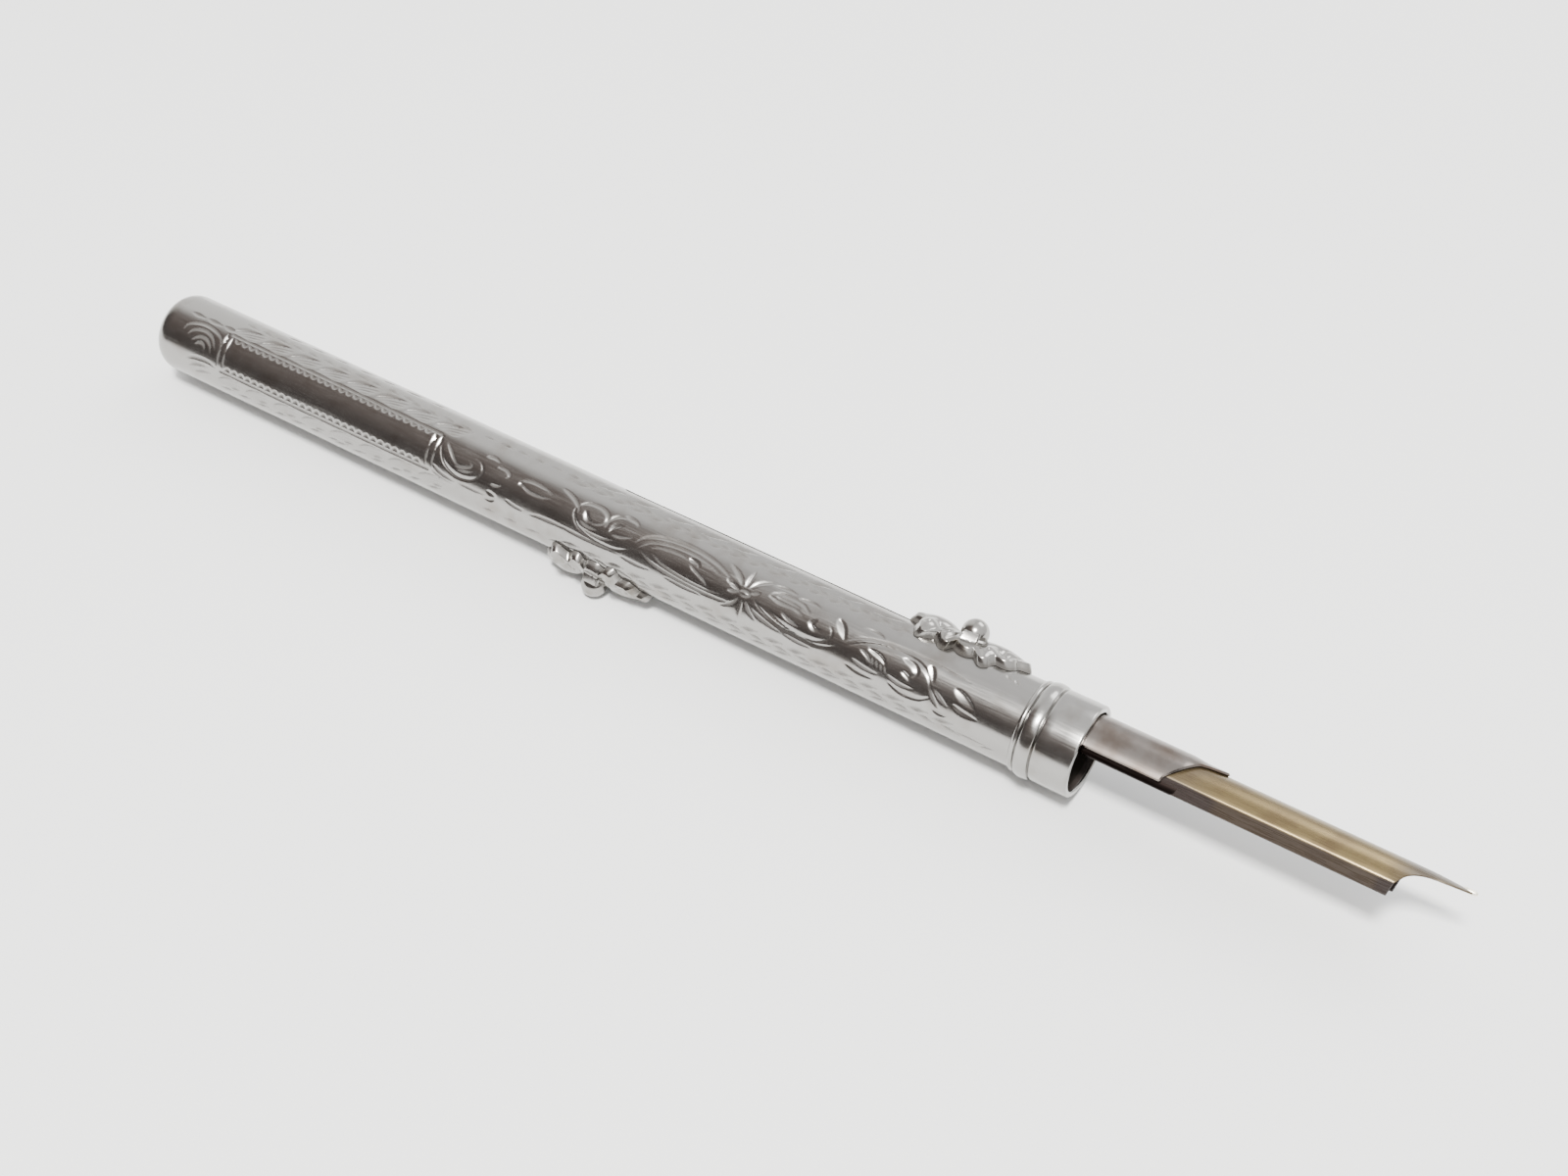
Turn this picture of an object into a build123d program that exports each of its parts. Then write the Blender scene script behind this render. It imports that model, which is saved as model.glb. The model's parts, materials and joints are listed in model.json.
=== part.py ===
from build123d import *
import os
from math import cos, radians, sin, sqrt

# A double-slide pen holder. A dip pen and a small propelling pencil lie side by side in
# one round barrel, and each is pushed out of the mouth by its own ornamental slider.
# Millimetres. The X axis is the barrel's axis, the origin is the centre of the mouth,
# +X points towards the nib and +Z is up.
# Pieces are drawn with the slot that serves them at the top, then turned into place.

# Barrel
BARREL_R = 4.5
BARREL_BORE_R = 4.15
BARREL_FRONT_X = -0.8
BARREL_TAIL_X = -114.3
ROLL = -47.0  # turn about X that brings the pen's slot to its place at rest
OPPOSITE = 180.0

# Collar round the mouth
COLLAR_REAR_X = -6.35
COLLAR_BORE_R = 4.1
COLLAR_BAND_R = 4.75
COLLAR_BEAD_R = 4.83
COLLAR_GROOVE_R = 4.62  # hollow between the bead and the plain band
COLLAR_BAND_X = -4.2
LIP_ROUND = 0.25

# Tail
CAP_SKIRT_X = -110.3
CAP_WALL = 0.45
CAP_END_X = -117.3
FINIAL_STEM_R = 0.35
FINIAL_HEAD_R = 0.9
FINIAL_END_X = -118.0

# Slides: the pen rests pushed out, the pencil rests drawn in
TRAVEL = 40.0
PEN_STUD_X = -14.9
PENCIL_STUD_X = PEN_STUD_X - TRAVEL
SLOT_W = 1.6
STUD_R = 0.7
STUD_PLAY = 0.1
SLIDE_R = 4.05  # outside of both inner slides

# Slider ornament
SLIDER_HALF_L = 6.25
SLIDER_HALF_W = 2.6
SLIDER_IN_R = 4.53
SLIDER_OUT_R = 5.1
LOBE_R = 1.25
LOBE_X = 3.6
LOBE_Y = 2.35
BERRY_R = 0.8
BERRY_TOP_R = 5.5
BOSS_R = 1.8
BOSS_TOP = 5.55
KNOB_R = 1.3
KNOB_TOP = 7.1

# Leaf springs that hold the slides by friction
LEAF_T = 0.18
LEAF_HALF_W = 1.1
PEN_LEAF_SEAT_Z = 3.05
PENCIL_LEAF_SEAT_Z = 3.2
LEAF_L = 11.0
LEAF_BOW_Z = 3.76
RIVET_R = 0.35
RIVET_HEAD_R = 0.6
RIVET_HEAD_T = 0.16

# Pen slide, nib sheath, nib bed and nib
PEN_SLIDE_REAR_X = -22.0
PEN_NECK_X = -6.0
PEN_SLIDE_FRONT_X = -1.0
PEN_SLIDE_HALF_ANGLE = 80.0
NECK_R = 3.6
BED_R = 3.25
BED_IN_R = 2.95
BED_FRONT_X = 9.6
SHEATH_R = 3.95
SHEATH_HALF_ANGLE = 78.0
SHEATH_SIDE_X = 7.8
SHEATH_TONGUE_X = 12.8
NIB_R = 3.45
NIB_T = 0.18
NIB_CREASE_ANGLE = 67.0
NIB_HEEL_ANGLE = 66.0
NIB_SHOULDER_X = 29.7
NIB_TIP_X = 36.4
NIB_SLIT_L = 4.0  # from the vent hole to the shoulders
NIB_SLIT_W = 0.06
NIB_VENT_R = 0.55
PELLET_R = 0.24

# Pencil, on its own axis towards its slot
PENCIL_Z = 1.55
PENCIL_SLIDE_REAR_X = -64.5
PENCIL_SLIDE_FRONT_X = -48.8
PENCIL_SLIDE_HALF_W = 3.1
PENCIL_SLIDE_LOW_Z = 1.2
CASE_R = 2.0
CASE_BORE_R = 1.74
CASE_REAR_X = -60.0
CASE_FRONT_X = -25.0
PLUG_END_X = -61.2
PLUG_FRONT_X = -57.0
GUIDE_R = 1.12
GUIDE_BORE_R = 0.8
GUIDE_REAR_X = -59.0
GUIDE_FRONT_X = -35.5
GUIDE_SLOT_W = 0.6
NOZZLE_TUBE_R = 1.68
NOZZLE_TUBE_REAR_X = -45.0
NOZZLE_TUBE_FRONT_X = -22.0
SPIRAL_ROOM_R = 1.45
SPIRAL_ROOM_END_X = -35.3
RETAINER_X = -33.0
RETAINER_HALF_W = 0.3
RETAINER_PLAY = 0.05
RETAINER_IN_R = 1.3
SPIRAL_R = 1.32
SPIRAL_WIRE_R = 0.12
SPIRAL_PITCH = 1.0
SPIRAL_TURNS = 7.5
PUSHER_R = 0.72
PUSHER_REAR_X = -41.5
PUSHER_FRONT_X = -24.0
PIN_X = -40.4
PIN_R = 0.2
PIN_TOP = 1.38
GRIP_R = 2.0
GRIP_REAR_X = -24.95
GRIP_FRONT_X = -21.6
GRIP_FLUTES = 24
GRIP_FLUTE_W = 0.22
GRIP_FLUTE_DEPTH = 0.15
TIP_X = -10.2
TIP_R = 0.75
LEAD_R = 0.45
LEAD_HOLE_R = 0.52
LEAD_FRONT_X = -10.4

OVER = 1.0  # how far a cutting body runs past what it cuts


def along_x(section, x0, x1):
    """The section, drawn in Y and Z, carried from x0 to x1."""
    return extrude(Plane.YZ.offset(x0) * section, amount=x1 - x0)


def rod(r, x0, x1, z=0.0):
    return along_x(Pos(0, z) * Circle(r), x0, x1)


def tube(r, bore_r, x0, x1, z=0.0):
    return rod(r, x0, x1, z) - rod(bore_r, x0 - OVER, x1 + OVER, z)


def post(r, x, z0, z1):
    """A round post standing along Z."""
    return Pos(x, 0, z0) * Cylinder(r, z1 - z0, align=(Align.CENTER, Align.CENTER, Align.MIN))


def wedge(half_angle, reach):
    """A flat wedge about +Z, up to a half turn wide, for trimming a section."""
    y = reach * sin(radians(half_angle))
    z = reach * cos(radians(half_angle))
    return Polygon((0, 0), (y, z), (y, 2 * reach), (-y, 2 * reach), (-y, z), align=None)


def gutter(r, bore_r, x0, x1, half_angle):
    """Part of a tube, centred on +Z."""
    section = (Circle(r) - Circle(bore_r)) & wedge(half_angle, 2 * r)
    return along_x(section, x0, x1)


def turned(points, z=0.0):
    """A solid of revolution about the X direction, from (x, radius) points."""
    outline = make_face(Polyline(*[(x, r) for x, r in points], close=True))
    return Pos(0, 0, z) * revolve(outline, Axis.X)


def spot(x, y, z):
    return Pos(x, y, z)


def dome_radius(foot_r, height):
    """The radius of the sphere whose cap has this foot and height."""
    return (foot_r**2 + height**2) / (2 * height)


# ---- Barrel -------------------------------------------------------------------------


def slot_cut():
    """The cutter for one slot: the stud's travel, with round ends."""
    length = TRAVEL + 2 * (STUD_R + STUD_PLAY)
    middle = (PEN_STUD_X + PENCIL_STUD_X) / 2
    return spot(middle, 0, 0) * extrude(SlotOverall(length, SLOT_W), amount=BARREL_R + OVER)


def make_barrel_tube():
    body = tube(BARREL_R, BARREL_BORE_R, BARREL_TAIL_X, BARREL_FRONT_X)
    for turn in (0, OPPOSITE):
        body -= Rot(turn, 0, 0) * slot_cut()
    return body


def make_mouth_collar():
    bead_mid = (COLLAR_REAR_X + COLLAR_BAND_X) / 2 - 0.2
    bead_end = COLLAR_BAND_X - 0.35
    quarter = (bead_mid - COLLAR_REAR_X) / 2
    lines = [
        Line((COLLAR_REAR_X, BARREL_R), (COLLAR_REAR_X, COLLAR_BAND_R - 0.1)),
        ThreePointArc(
            (COLLAR_REAR_X, COLLAR_BAND_R - 0.1),
            (COLLAR_REAR_X + quarter, COLLAR_BEAD_R),
            (bead_mid, COLLAR_BAND_R),
        ),
        ThreePointArc(
            (bead_mid, COLLAR_BAND_R),
            ((bead_mid + bead_end) / 2, COLLAR_BEAD_R),
            (bead_end, COLLAR_GROOVE_R),
        ),
        ThreePointArc(
            (bead_end, COLLAR_GROOVE_R),
            ((bead_end + COLLAR_BAND_X) / 2, COLLAR_GROOVE_R - 0.02),
            (COLLAR_BAND_X, COLLAR_BAND_R),
        ),
        Line((COLLAR_BAND_X, COLLAR_BAND_R), (-LIP_ROUND, COLLAR_BAND_R)),
        RadiusArc((-LIP_ROUND, COLLAR_BAND_R), (0, COLLAR_BAND_R - LIP_ROUND), LIP_ROUND),
        Line((0, COLLAR_BAND_R - LIP_ROUND), (0, COLLAR_BORE_R + 0.15)),
        Line((0, COLLAR_BORE_R + 0.15), (-0.15, COLLAR_BORE_R)),
        Line((-0.15, COLLAR_BORE_R), (BARREL_FRONT_X, COLLAR_BORE_R)),
        Line((BARREL_FRONT_X, COLLAR_BORE_R), (BARREL_FRONT_X, BARREL_R)),
        Line((BARREL_FRONT_X, BARREL_R), (COLLAR_REAR_X, BARREL_R)),
    ]
    return revolve(make_face(Curve() + lines), Axis.X)


def make_end_cap():
    dome = Spline(
        (BARREL_TAIL_X, BARREL_R),
        (CAP_END_X + 0.62, 2.55),
        (CAP_END_X, FINIAL_STEM_R),
        tangents=[(-1, 0), (-0.04, -1)],
    )
    inner_r = BARREL_BORE_R - CAP_WALL
    inside = Polyline(
        (CAP_END_X, FINIAL_STEM_R),
        (CAP_END_X + CAP_WALL, FINIAL_STEM_R),
        (CAP_END_X + 1.1, 2.1),
        (BARREL_TAIL_X, inner_r),
        (CAP_SKIRT_X, inner_r),
        (CAP_SKIRT_X, BARREL_BORE_R),
        (BARREL_TAIL_X, BARREL_BORE_R),
        (BARREL_TAIL_X, BARREL_R),
    )
    return revolve(make_face(Curve() + [dome, inside]), Axis.X)


def make_cap_finial():
    head_x = CAP_END_X - 0.02
    dome_x = head_x - 0.1
    dome_r = dome_radius(FINIAL_HEAD_R, dome_x - FINIAL_END_X)
    lines = [
        Line((FINIAL_END_X, 0), (CAP_END_X + CAP_WALL, 0)),
        Line((CAP_END_X + CAP_WALL, 0), (CAP_END_X + CAP_WALL, FINIAL_STEM_R)),
        Line((CAP_END_X + CAP_WALL, FINIAL_STEM_R), (head_x, FINIAL_STEM_R)),
        Line((head_x, FINIAL_STEM_R), (head_x, FINIAL_HEAD_R)),
        Line((head_x, FINIAL_HEAD_R), (dome_x, FINIAL_HEAD_R)),
        RadiusArc((dome_x, FINIAL_HEAD_R), (FINIAL_END_X, 0), -dome_r),
    ]
    return revolve(make_face(Curve() + lines), Axis.X)


# ---- Sliders, studs and springs, the same for pen and pencil ------------------------------


def make_slider(stud_x):
    """The cast ornament: a lobed plate bent round the barrel, with berries and a boss."""
    outline = Ellipse(SLIDER_HALF_L, SLIDER_HALF_W)
    lobes = [(x, y) for x in (-LOBE_X, 0, LOBE_X) for y in (-LOBE_Y, LOBE_Y)]
    for x, y in lobes:
        outline += Pos(x, y) * Circle(LOBE_R)
    shell = tube(SLIDER_OUT_R, SLIDER_IN_R, -SLIDER_HALF_L - OVER, SLIDER_HALF_L + OVER)
    body = extrude(outline, amount=SLIDER_OUT_R + OVER) & shell
    for x, y in lobes:
        depth = sqrt((BERRY_TOP_R - BERRY_R) ** 2 - y**2)
        body += spot(x, y, depth) * Sphere(BERRY_R)
    body += post(BOSS_R, 0, SLIDER_IN_R - OVER, BOSS_TOP)
    body -= rod(SLIDER_IN_R, -SLIDER_HALF_L - OVER, SLIDER_HALF_L + OVER)
    body -= post(STUD_R, 0, 0, KNOB_TOP)
    return spot(stud_x, 0, 0) * body


def make_stud(stud_x, foot_z):
    """The rivet through the slot, with the domed knob that the thumb pushes."""
    dome_z = BOSS_TOP + 0.3
    lines = [
        Line((0, foot_z), (STUD_R, foot_z)),
        Line((STUD_R, foot_z), (STUD_R, BOSS_TOP)),
        Line((STUD_R, BOSS_TOP), (KNOB_R - 0.2, BOSS_TOP)),
        Line((KNOB_R - 0.2, BOSS_TOP), (KNOB_R, dome_z)),
        RadiusArc((KNOB_R, dome_z), (0, KNOB_TOP), -dome_radius(KNOB_R, KNOB_TOP - dome_z)),
        Line((0, KNOB_TOP), (0, foot_z)),
    ]
    return spot(stud_x, 0, 0) * revolve(make_face(Plane.XZ * (Curve() + lines)), Axis.Z)


def make_leaf_spring(front_x, rivet_x, seat):
    """A bowed strip that bears on the bore on both sides of the slot."""
    low = seat - LEAF_T
    bend_x = front_x - 2.4
    end_x = front_x - LEAF_L
    mid_x = (bend_x + end_x) / 2
    lines = [
        Line((front_x, low), (front_x, seat)),
        Line((front_x, seat), (bend_x, seat)),
        ThreePointArc((bend_x, seat), (mid_x, LEAF_BOW_Z + LEAF_T), (end_x, seat)),
        Line((end_x, seat), (end_x, low)),
        ThreePointArc((end_x, low), (mid_x, LEAF_BOW_Z), (bend_x, low)),
        Line((bend_x, low), (front_x, low)),
    ]
    face = make_face(Plane.XZ * (Curve() + lines))
    strip = extrude(face, amount=LEAF_HALF_W, both=True)
    return strip - post(RIVET_R, rivet_x, 0, BARREL_R)


def make_spring_rivet(x, seat, top_z):
    head_z = seat - LEAF_T
    return post(RIVET_R, x, head_z, top_z) + post(RIVET_HEAD_R, x, head_z - RIVET_HEAD_T, head_z)


# ---- Pen ------------------------------------------------------------------------------

PEN_RIVET_X = PEN_SLIDE_REAR_X + 1.0
PEN_LEAF_FRONT_X = PEN_SLIDE_REAR_X + 1.9
RIVET_TOP_Z = SLIDE_R - 0.1


def make_pen_slide():
    body = gutter(SLIDE_R, BED_R, PEN_SLIDE_REAR_X, PEN_NECK_X, PEN_SLIDE_HALF_ANGLE)
    body += gutter(NECK_R, BED_R, PEN_NECK_X, PEN_SLIDE_FRONT_X, PEN_SLIDE_HALF_ANGLE)
    body -= post(STUD_R, PEN_STUD_X, 0, BARREL_R)
    body -= post(RIVET_R, PEN_RIVET_X, 0, RIVET_TOP_Z)
    return body


def make_nib_sheath():
    """The outer half sleeve, its front swept back from a tongue to the two sides."""
    body = gutter(SHEATH_R, NECK_R, PEN_NECK_X, SHEATH_TONGUE_X + OVER, SHEATH_HALF_ANGLE)
    side_y = SHEATH_R * sin(radians(SHEATH_HALF_ANGLE)) + 0.1
    drop = SHEATH_TONGUE_X - SHEATH_SIDE_X
    tongue = Spline(
        (SHEATH_SIDE_X, side_y),
        (SHEATH_SIDE_X + 0.12 * drop, side_y * 0.84),
        (SHEATH_SIDE_X + 0.36 * drop, side_y * 0.58),
        (SHEATH_SIDE_X + 0.8 * drop, side_y * 0.17),
        (SHEATH_TONGUE_X, 0),
        tangents=[(0, -1), (0, -1)],
    )
    back = Polyline(
        (SHEATH_TONGUE_X, 0),
        (PEN_NECK_X - OVER, 0),
        (PEN_NECK_X - OVER, side_y),
        (SHEATH_SIDE_X, side_y),
    )
    half = make_face(Curve() + [tongue, back])
    plan = half + mirror(half, Plane.XZ)
    return body & extrude(plan, amount=BARREL_R)


def make_nib_bed():
    return gutter(BED_R, BED_IN_R, PEN_SLIDE_FRONT_X - 4.0, BED_FRONT_X, 90)


def nib_section(crease_angle):
    """An arc of sheet, with straight side walls below its creases."""
    inner = NIB_R - NIB_T
    arc = (Circle(NIB_R) - Circle(inner)) & wedge(crease_angle, 2 * NIB_R)
    y = NIB_R * sin(radians(crease_angle))
    z = NIB_R * cos(radians(crease_angle))
    walls = Pos(0, z / 2) * (Rectangle(2 * y, z) - Rectangle(2 * (y - NIB_T), z))
    return arc + walls


def make_nib():
    """A gutter-shaped nib: narrow heel, full blade, square shoulders, slender point."""
    sheet = along_x(nib_section(NIB_CREASE_ANGLE), PEN_SLIDE_FRONT_X, NIB_TIP_X + OVER)
    reach = NIB_TIP_X - NIB_SHOULDER_X
    flank = Spline(
        (NIB_SHOULDER_X, NIB_R),
        (NIB_SHOULDER_X + 0.1 * reach, 2.5),
        (NIB_SHOULDER_X + 0.35 * reach, 1.35),
        (NIB_SHOULDER_X + 0.85 * reach, 0.85),
        (NIB_TIP_X, 0.2),
    )
    back = Polyline(
        (NIB_TIP_X, 0.2),
        (NIB_TIP_X, 0),
        (PEN_SLIDE_FRONT_X - OVER, 0),
        (PEN_SLIDE_FRONT_X - OVER, NIB_R),
        (NIB_SHOULDER_X, NIB_R),
    )
    half = make_face(Curve() + [flank, back])
    body = sheet & extrude(half + mirror(half, Plane.XZ), amount=BARREL_R)
    heel_z = NIB_R * cos(radians(NIB_HEEL_ANGLE))
    heel_l = BED_FRONT_X - PEN_SLIDE_FRONT_X + OVER
    rear = (Align.MAX, Align.CENTER, Align.CENTER)
    body -= spot(BED_FRONT_X + 0.05, 0, 0) * Box(heel_l, 3 * NIB_R, 2 * heel_z, align=rear)
    vent_x = NIB_SHOULDER_X - NIB_SLIT_L
    front = (Align.MIN, Align.CENTER, Align.CENTER)
    body -= spot(vent_x, 0, NIB_R) * Box(NIB_TIP_X - vent_x + OVER, NIB_SLIT_W, NIB_R, align=front)
    return body - post(NIB_VENT_R, vent_x, 1, BARREL_R)


def make_nib_pellet():
    x = NIB_TIP_X + PELLET_R * 0.9
    return spot(x, 0, NIB_R - NIB_T / 2) * Sphere(PELLET_R)


# ---- Pencil ---------------------------------------------------------------------------

PENCIL_RIVET_X = PENCIL_SLIDE_REAR_X + 1.0
PENCIL_LEAF_FRONT_X = PENCIL_SLIDE_REAR_X + 1.9


def make_pencil_slide():
    """A saddle that fills the room between the pencil's case and the bore."""
    height = BARREL_R
    block = Pos(0, PENCIL_SLIDE_LOW_Z + height / 2) * Rectangle(2 * PENCIL_SLIDE_HALF_W, height)
    section = (Circle(SLIDE_R) & block) - Pos(0, PENCIL_Z) * Circle(CASE_R)
    body = along_x(section, PENCIL_SLIDE_REAR_X, PENCIL_SLIDE_FRONT_X)
    body -= post(STUD_R, PENCIL_STUD_X, 0, BARREL_R)
    body -= post(RIVET_R, PENCIL_RIVET_X, 0, RIVET_TOP_Z)
    return body


def make_pencil_case():
    return tube(CASE_R, CASE_BORE_R, CASE_REAR_X, CASE_FRONT_X, PENCIL_Z)


def make_case_plug():
    plug = rod(CASE_BORE_R, CASE_REAR_X, PLUG_FRONT_X, PENCIL_Z)
    plug += rod(CASE_R, PLUG_END_X, CASE_REAR_X, PENCIL_Z)
    return plug - rod(GUIDE_R, GUIDE_REAR_X, PLUG_FRONT_X + OVER, PENCIL_Z)


def make_guide_tube():
    """The fixed tube whose straight slot keeps the pusher's pin from turning."""
    body = tube(GUIDE_R, GUIDE_BORE_R, GUIDE_REAR_X, GUIDE_FRONT_X, PENCIL_Z)
    x0 = NOZZLE_TUBE_REAR_X + 1.5
    x1 = GUIDE_FRONT_X - 1.0
    cut = spot((x0 + x1) / 2, 0, PENCIL_Z) * extrude(
        SlotOverall(x1 - x0, GUIDE_SLOT_W), amount=GUIDE_R + OVER
    )
    return body - cut


def make_nozzle_retainer():
    """A ring fixed in the case, running in the nozzle tube's groove."""
    return tube(
        CASE_BORE_R,
        RETAINER_IN_R + RETAINER_PLAY,
        RETAINER_X - RETAINER_HALF_W,
        RETAINER_X + RETAINER_HALF_W,
        PENCIL_Z,
    )


def make_nozzle_tube():
    groove_half = RETAINER_HALF_W + RETAINER_PLAY
    profile = [
        (NOZZLE_TUBE_REAR_X, SPIRAL_ROOM_R),
        (NOZZLE_TUBE_REAR_X, NOZZLE_TUBE_R),
        (RETAINER_X - groove_half, NOZZLE_TUBE_R),
        (RETAINER_X - groove_half, RETAINER_IN_R),
        (RETAINER_X + groove_half, RETAINER_IN_R),
        (RETAINER_X + groove_half, NOZZLE_TUBE_R),
        (NOZZLE_TUBE_FRONT_X, NOZZLE_TUBE_R),
        (NOZZLE_TUBE_FRONT_X, GUIDE_BORE_R),
        (SPIRAL_ROOM_END_X, GUIDE_BORE_R),
        (SPIRAL_ROOM_END_X, SPIRAL_ROOM_R),
    ]
    return turned(profile, PENCIL_Z)


def make_feed_spiral():
    """A left-hand coil fixed in the nozzle tube. Its turns drive the pusher's pin."""
    start_x = PIN_X - 3.5 * SPIRAL_PITCH
    frame = Plane((start_x, 0, PENCIL_Z), x_dir=(0, 0, 1), z_dir=(1, 0, 0))
    coil = frame * Helix(SPIRAL_PITCH, SPIRAL_PITCH * SPIRAL_TURNS, SPIRAL_R, lefthand=True)
    wire = Plane(coil @ 0, z_dir=coil % 0) * Circle(SPIRAL_WIRE_R)
    return sweep(wire, path=coil, is_frenet=True)


def make_nozzle():
    """The grip ring and cone that are turned to feed the lead."""
    profile = [
        (GRIP_REAR_X, NOZZLE_TUBE_R),
        (GRIP_REAR_X, GRIP_R - 0.15),
        (GRIP_REAR_X + 0.2, GRIP_R),
        (GRIP_FRONT_X - 0.2, GRIP_R),
        (GRIP_FRONT_X, GRIP_R - 0.25),
        (TIP_X - 1.6, TIP_R),
        (TIP_X, TIP_R - 0.05),
        (TIP_X, LEAD_HOLE_R),
        (GRIP_FRONT_X + 1.4, LEAD_HOLE_R),
        (GRIP_FRONT_X + 1.2, GUIDE_BORE_R),
        (NOZZLE_TUBE_FRONT_X, GUIDE_BORE_R),
        (NOZZLE_TUBE_FRONT_X, NOZZLE_TUBE_R),
    ]
    body = turned(profile)
    length = GRIP_FRONT_X - GRIP_REAR_X - 0.8
    middle = (GRIP_FRONT_X + GRIP_REAR_X) / 2
    for i in range(GRIP_FLUTES):
        turn = Rot(i * 360 / GRIP_FLUTES, 0, 0)
        body -= turn * spot(middle, 0, GRIP_R) * Box(length, GRIP_FLUTE_W, 2 * GRIP_FLUTE_DEPTH)
    return spot(0, 0, PENCIL_Z) * body


def make_lead_pusher():
    body = rod(PUSHER_R, PUSHER_REAR_X, PUSHER_FRONT_X, PENCIL_Z)
    return body - post(PIN_R, PIN_X, PENCIL_Z - PUSHER_R / 2, PENCIL_Z + PUSHER_R + OVER)


def make_pusher_pin():
    return post(PIN_R, PIN_X, PENCIL_Z - PUSHER_R / 2, PENCIL_Z + PIN_TOP)


def make_lead():
    return rod(LEAD_R, PUSHER_FRONT_X, LEAD_FRONT_X, PENCIL_Z)


# ---- The whole -------------------------------------------------------------------------

PEN_TURN = Rot(ROLL, 0, 0)
PENCIL_TURN = Rot(ROLL + OPPOSITE, 0, 0)

PARTS = {
    "barrel_tube": PEN_TURN * make_barrel_tube(),
    "mouth_collar": PEN_TURN * make_mouth_collar(),
    "end_cap": PEN_TURN * make_end_cap(),
    "cap_finial": PEN_TURN * make_cap_finial(),
    "pen_slide": PEN_TURN * make_pen_slide(),
    "pen_slider": PEN_TURN * make_slider(PEN_STUD_X),
    "pen_slider_stud": PEN_TURN * make_stud(PEN_STUD_X, BED_R),
    "pen_friction_spring": PEN_TURN * make_leaf_spring(
        PEN_LEAF_FRONT_X, PEN_RIVET_X, PEN_LEAF_SEAT_Z
    ),
    "pen_spring_rivet": PEN_TURN * make_spring_rivet(PEN_RIVET_X, PEN_LEAF_SEAT_Z, RIVET_TOP_Z),
    "nib_sheath": PEN_TURN * make_nib_sheath(),
    "nib_bed": PEN_TURN * make_nib_bed(),
    "nib": PEN_TURN * make_nib(),
    "nib_tip_pellet": PEN_TURN * make_nib_pellet(),
    "pencil_slide": PENCIL_TURN * make_pencil_slide(),
    "pencil_slider": PENCIL_TURN * make_slider(PENCIL_STUD_X),
    "pencil_slider_stud": PENCIL_TURN * make_stud(PENCIL_STUD_X, PENCIL_Z + CASE_R + 0.02),
    "pencil_friction_spring": PENCIL_TURN * make_leaf_spring(
        PENCIL_LEAF_FRONT_X, PENCIL_RIVET_X, PENCIL_LEAF_SEAT_Z
    ),
    "pencil_spring_rivet": PENCIL_TURN * make_spring_rivet(
        PENCIL_RIVET_X, PENCIL_LEAF_SEAT_Z, RIVET_TOP_Z
    ),
    "pencil_case": PENCIL_TURN * make_pencil_case(),
    "pencil_case_plug": PENCIL_TURN * make_case_plug(),
    "feed_guide_tube": PENCIL_TURN * make_guide_tube(),
    "nozzle_retainer": PENCIL_TURN * make_nozzle_retainer(),
    "nozzle_tube": PENCIL_TURN * make_nozzle_tube(),
    "feed_spiral": PENCIL_TURN * make_feed_spiral(),
    "pencil_nozzle": PENCIL_TURN * make_nozzle(),
    "lead_pusher": PENCIL_TURN * make_lead_pusher(),
    "pusher_pin": PENCIL_TURN * make_pusher_pin(),
    "pencil_lead": PENCIL_TURN * make_lead(),
}

os.makedirs("parts", exist_ok=True)
for name, solid in PARTS.items():
    export_step(solid, f"parts/{name}.step")
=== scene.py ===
"""A Victorian silver double-slide dip pen holder, lying on white paper with its nib out."""

import json
import random
from math import asin, atan2, ceil, cos, degrees, pi, radians, sin

import bpy
import numpy as np
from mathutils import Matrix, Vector


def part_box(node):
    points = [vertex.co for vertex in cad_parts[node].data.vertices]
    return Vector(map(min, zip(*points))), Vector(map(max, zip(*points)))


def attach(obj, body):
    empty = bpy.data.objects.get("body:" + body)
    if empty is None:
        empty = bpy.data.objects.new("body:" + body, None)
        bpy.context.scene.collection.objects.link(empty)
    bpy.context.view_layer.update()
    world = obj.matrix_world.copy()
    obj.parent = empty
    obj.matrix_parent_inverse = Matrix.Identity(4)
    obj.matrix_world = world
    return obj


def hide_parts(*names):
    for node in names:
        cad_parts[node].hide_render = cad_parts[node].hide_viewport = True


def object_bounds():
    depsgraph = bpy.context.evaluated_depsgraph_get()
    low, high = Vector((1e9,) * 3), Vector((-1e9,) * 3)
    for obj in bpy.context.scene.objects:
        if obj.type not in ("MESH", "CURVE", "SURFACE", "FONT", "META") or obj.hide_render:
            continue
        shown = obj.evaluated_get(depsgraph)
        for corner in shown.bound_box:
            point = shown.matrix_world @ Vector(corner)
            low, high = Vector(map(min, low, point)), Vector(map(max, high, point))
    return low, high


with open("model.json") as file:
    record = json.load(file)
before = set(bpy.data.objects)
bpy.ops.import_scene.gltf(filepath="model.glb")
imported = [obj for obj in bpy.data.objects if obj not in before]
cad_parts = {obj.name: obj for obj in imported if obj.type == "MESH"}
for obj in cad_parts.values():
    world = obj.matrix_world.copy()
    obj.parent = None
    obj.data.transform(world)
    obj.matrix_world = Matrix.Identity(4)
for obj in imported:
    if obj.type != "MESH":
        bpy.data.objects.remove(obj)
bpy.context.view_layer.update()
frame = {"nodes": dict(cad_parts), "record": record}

MM = 0.001
rng = random.Random(11)

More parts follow.
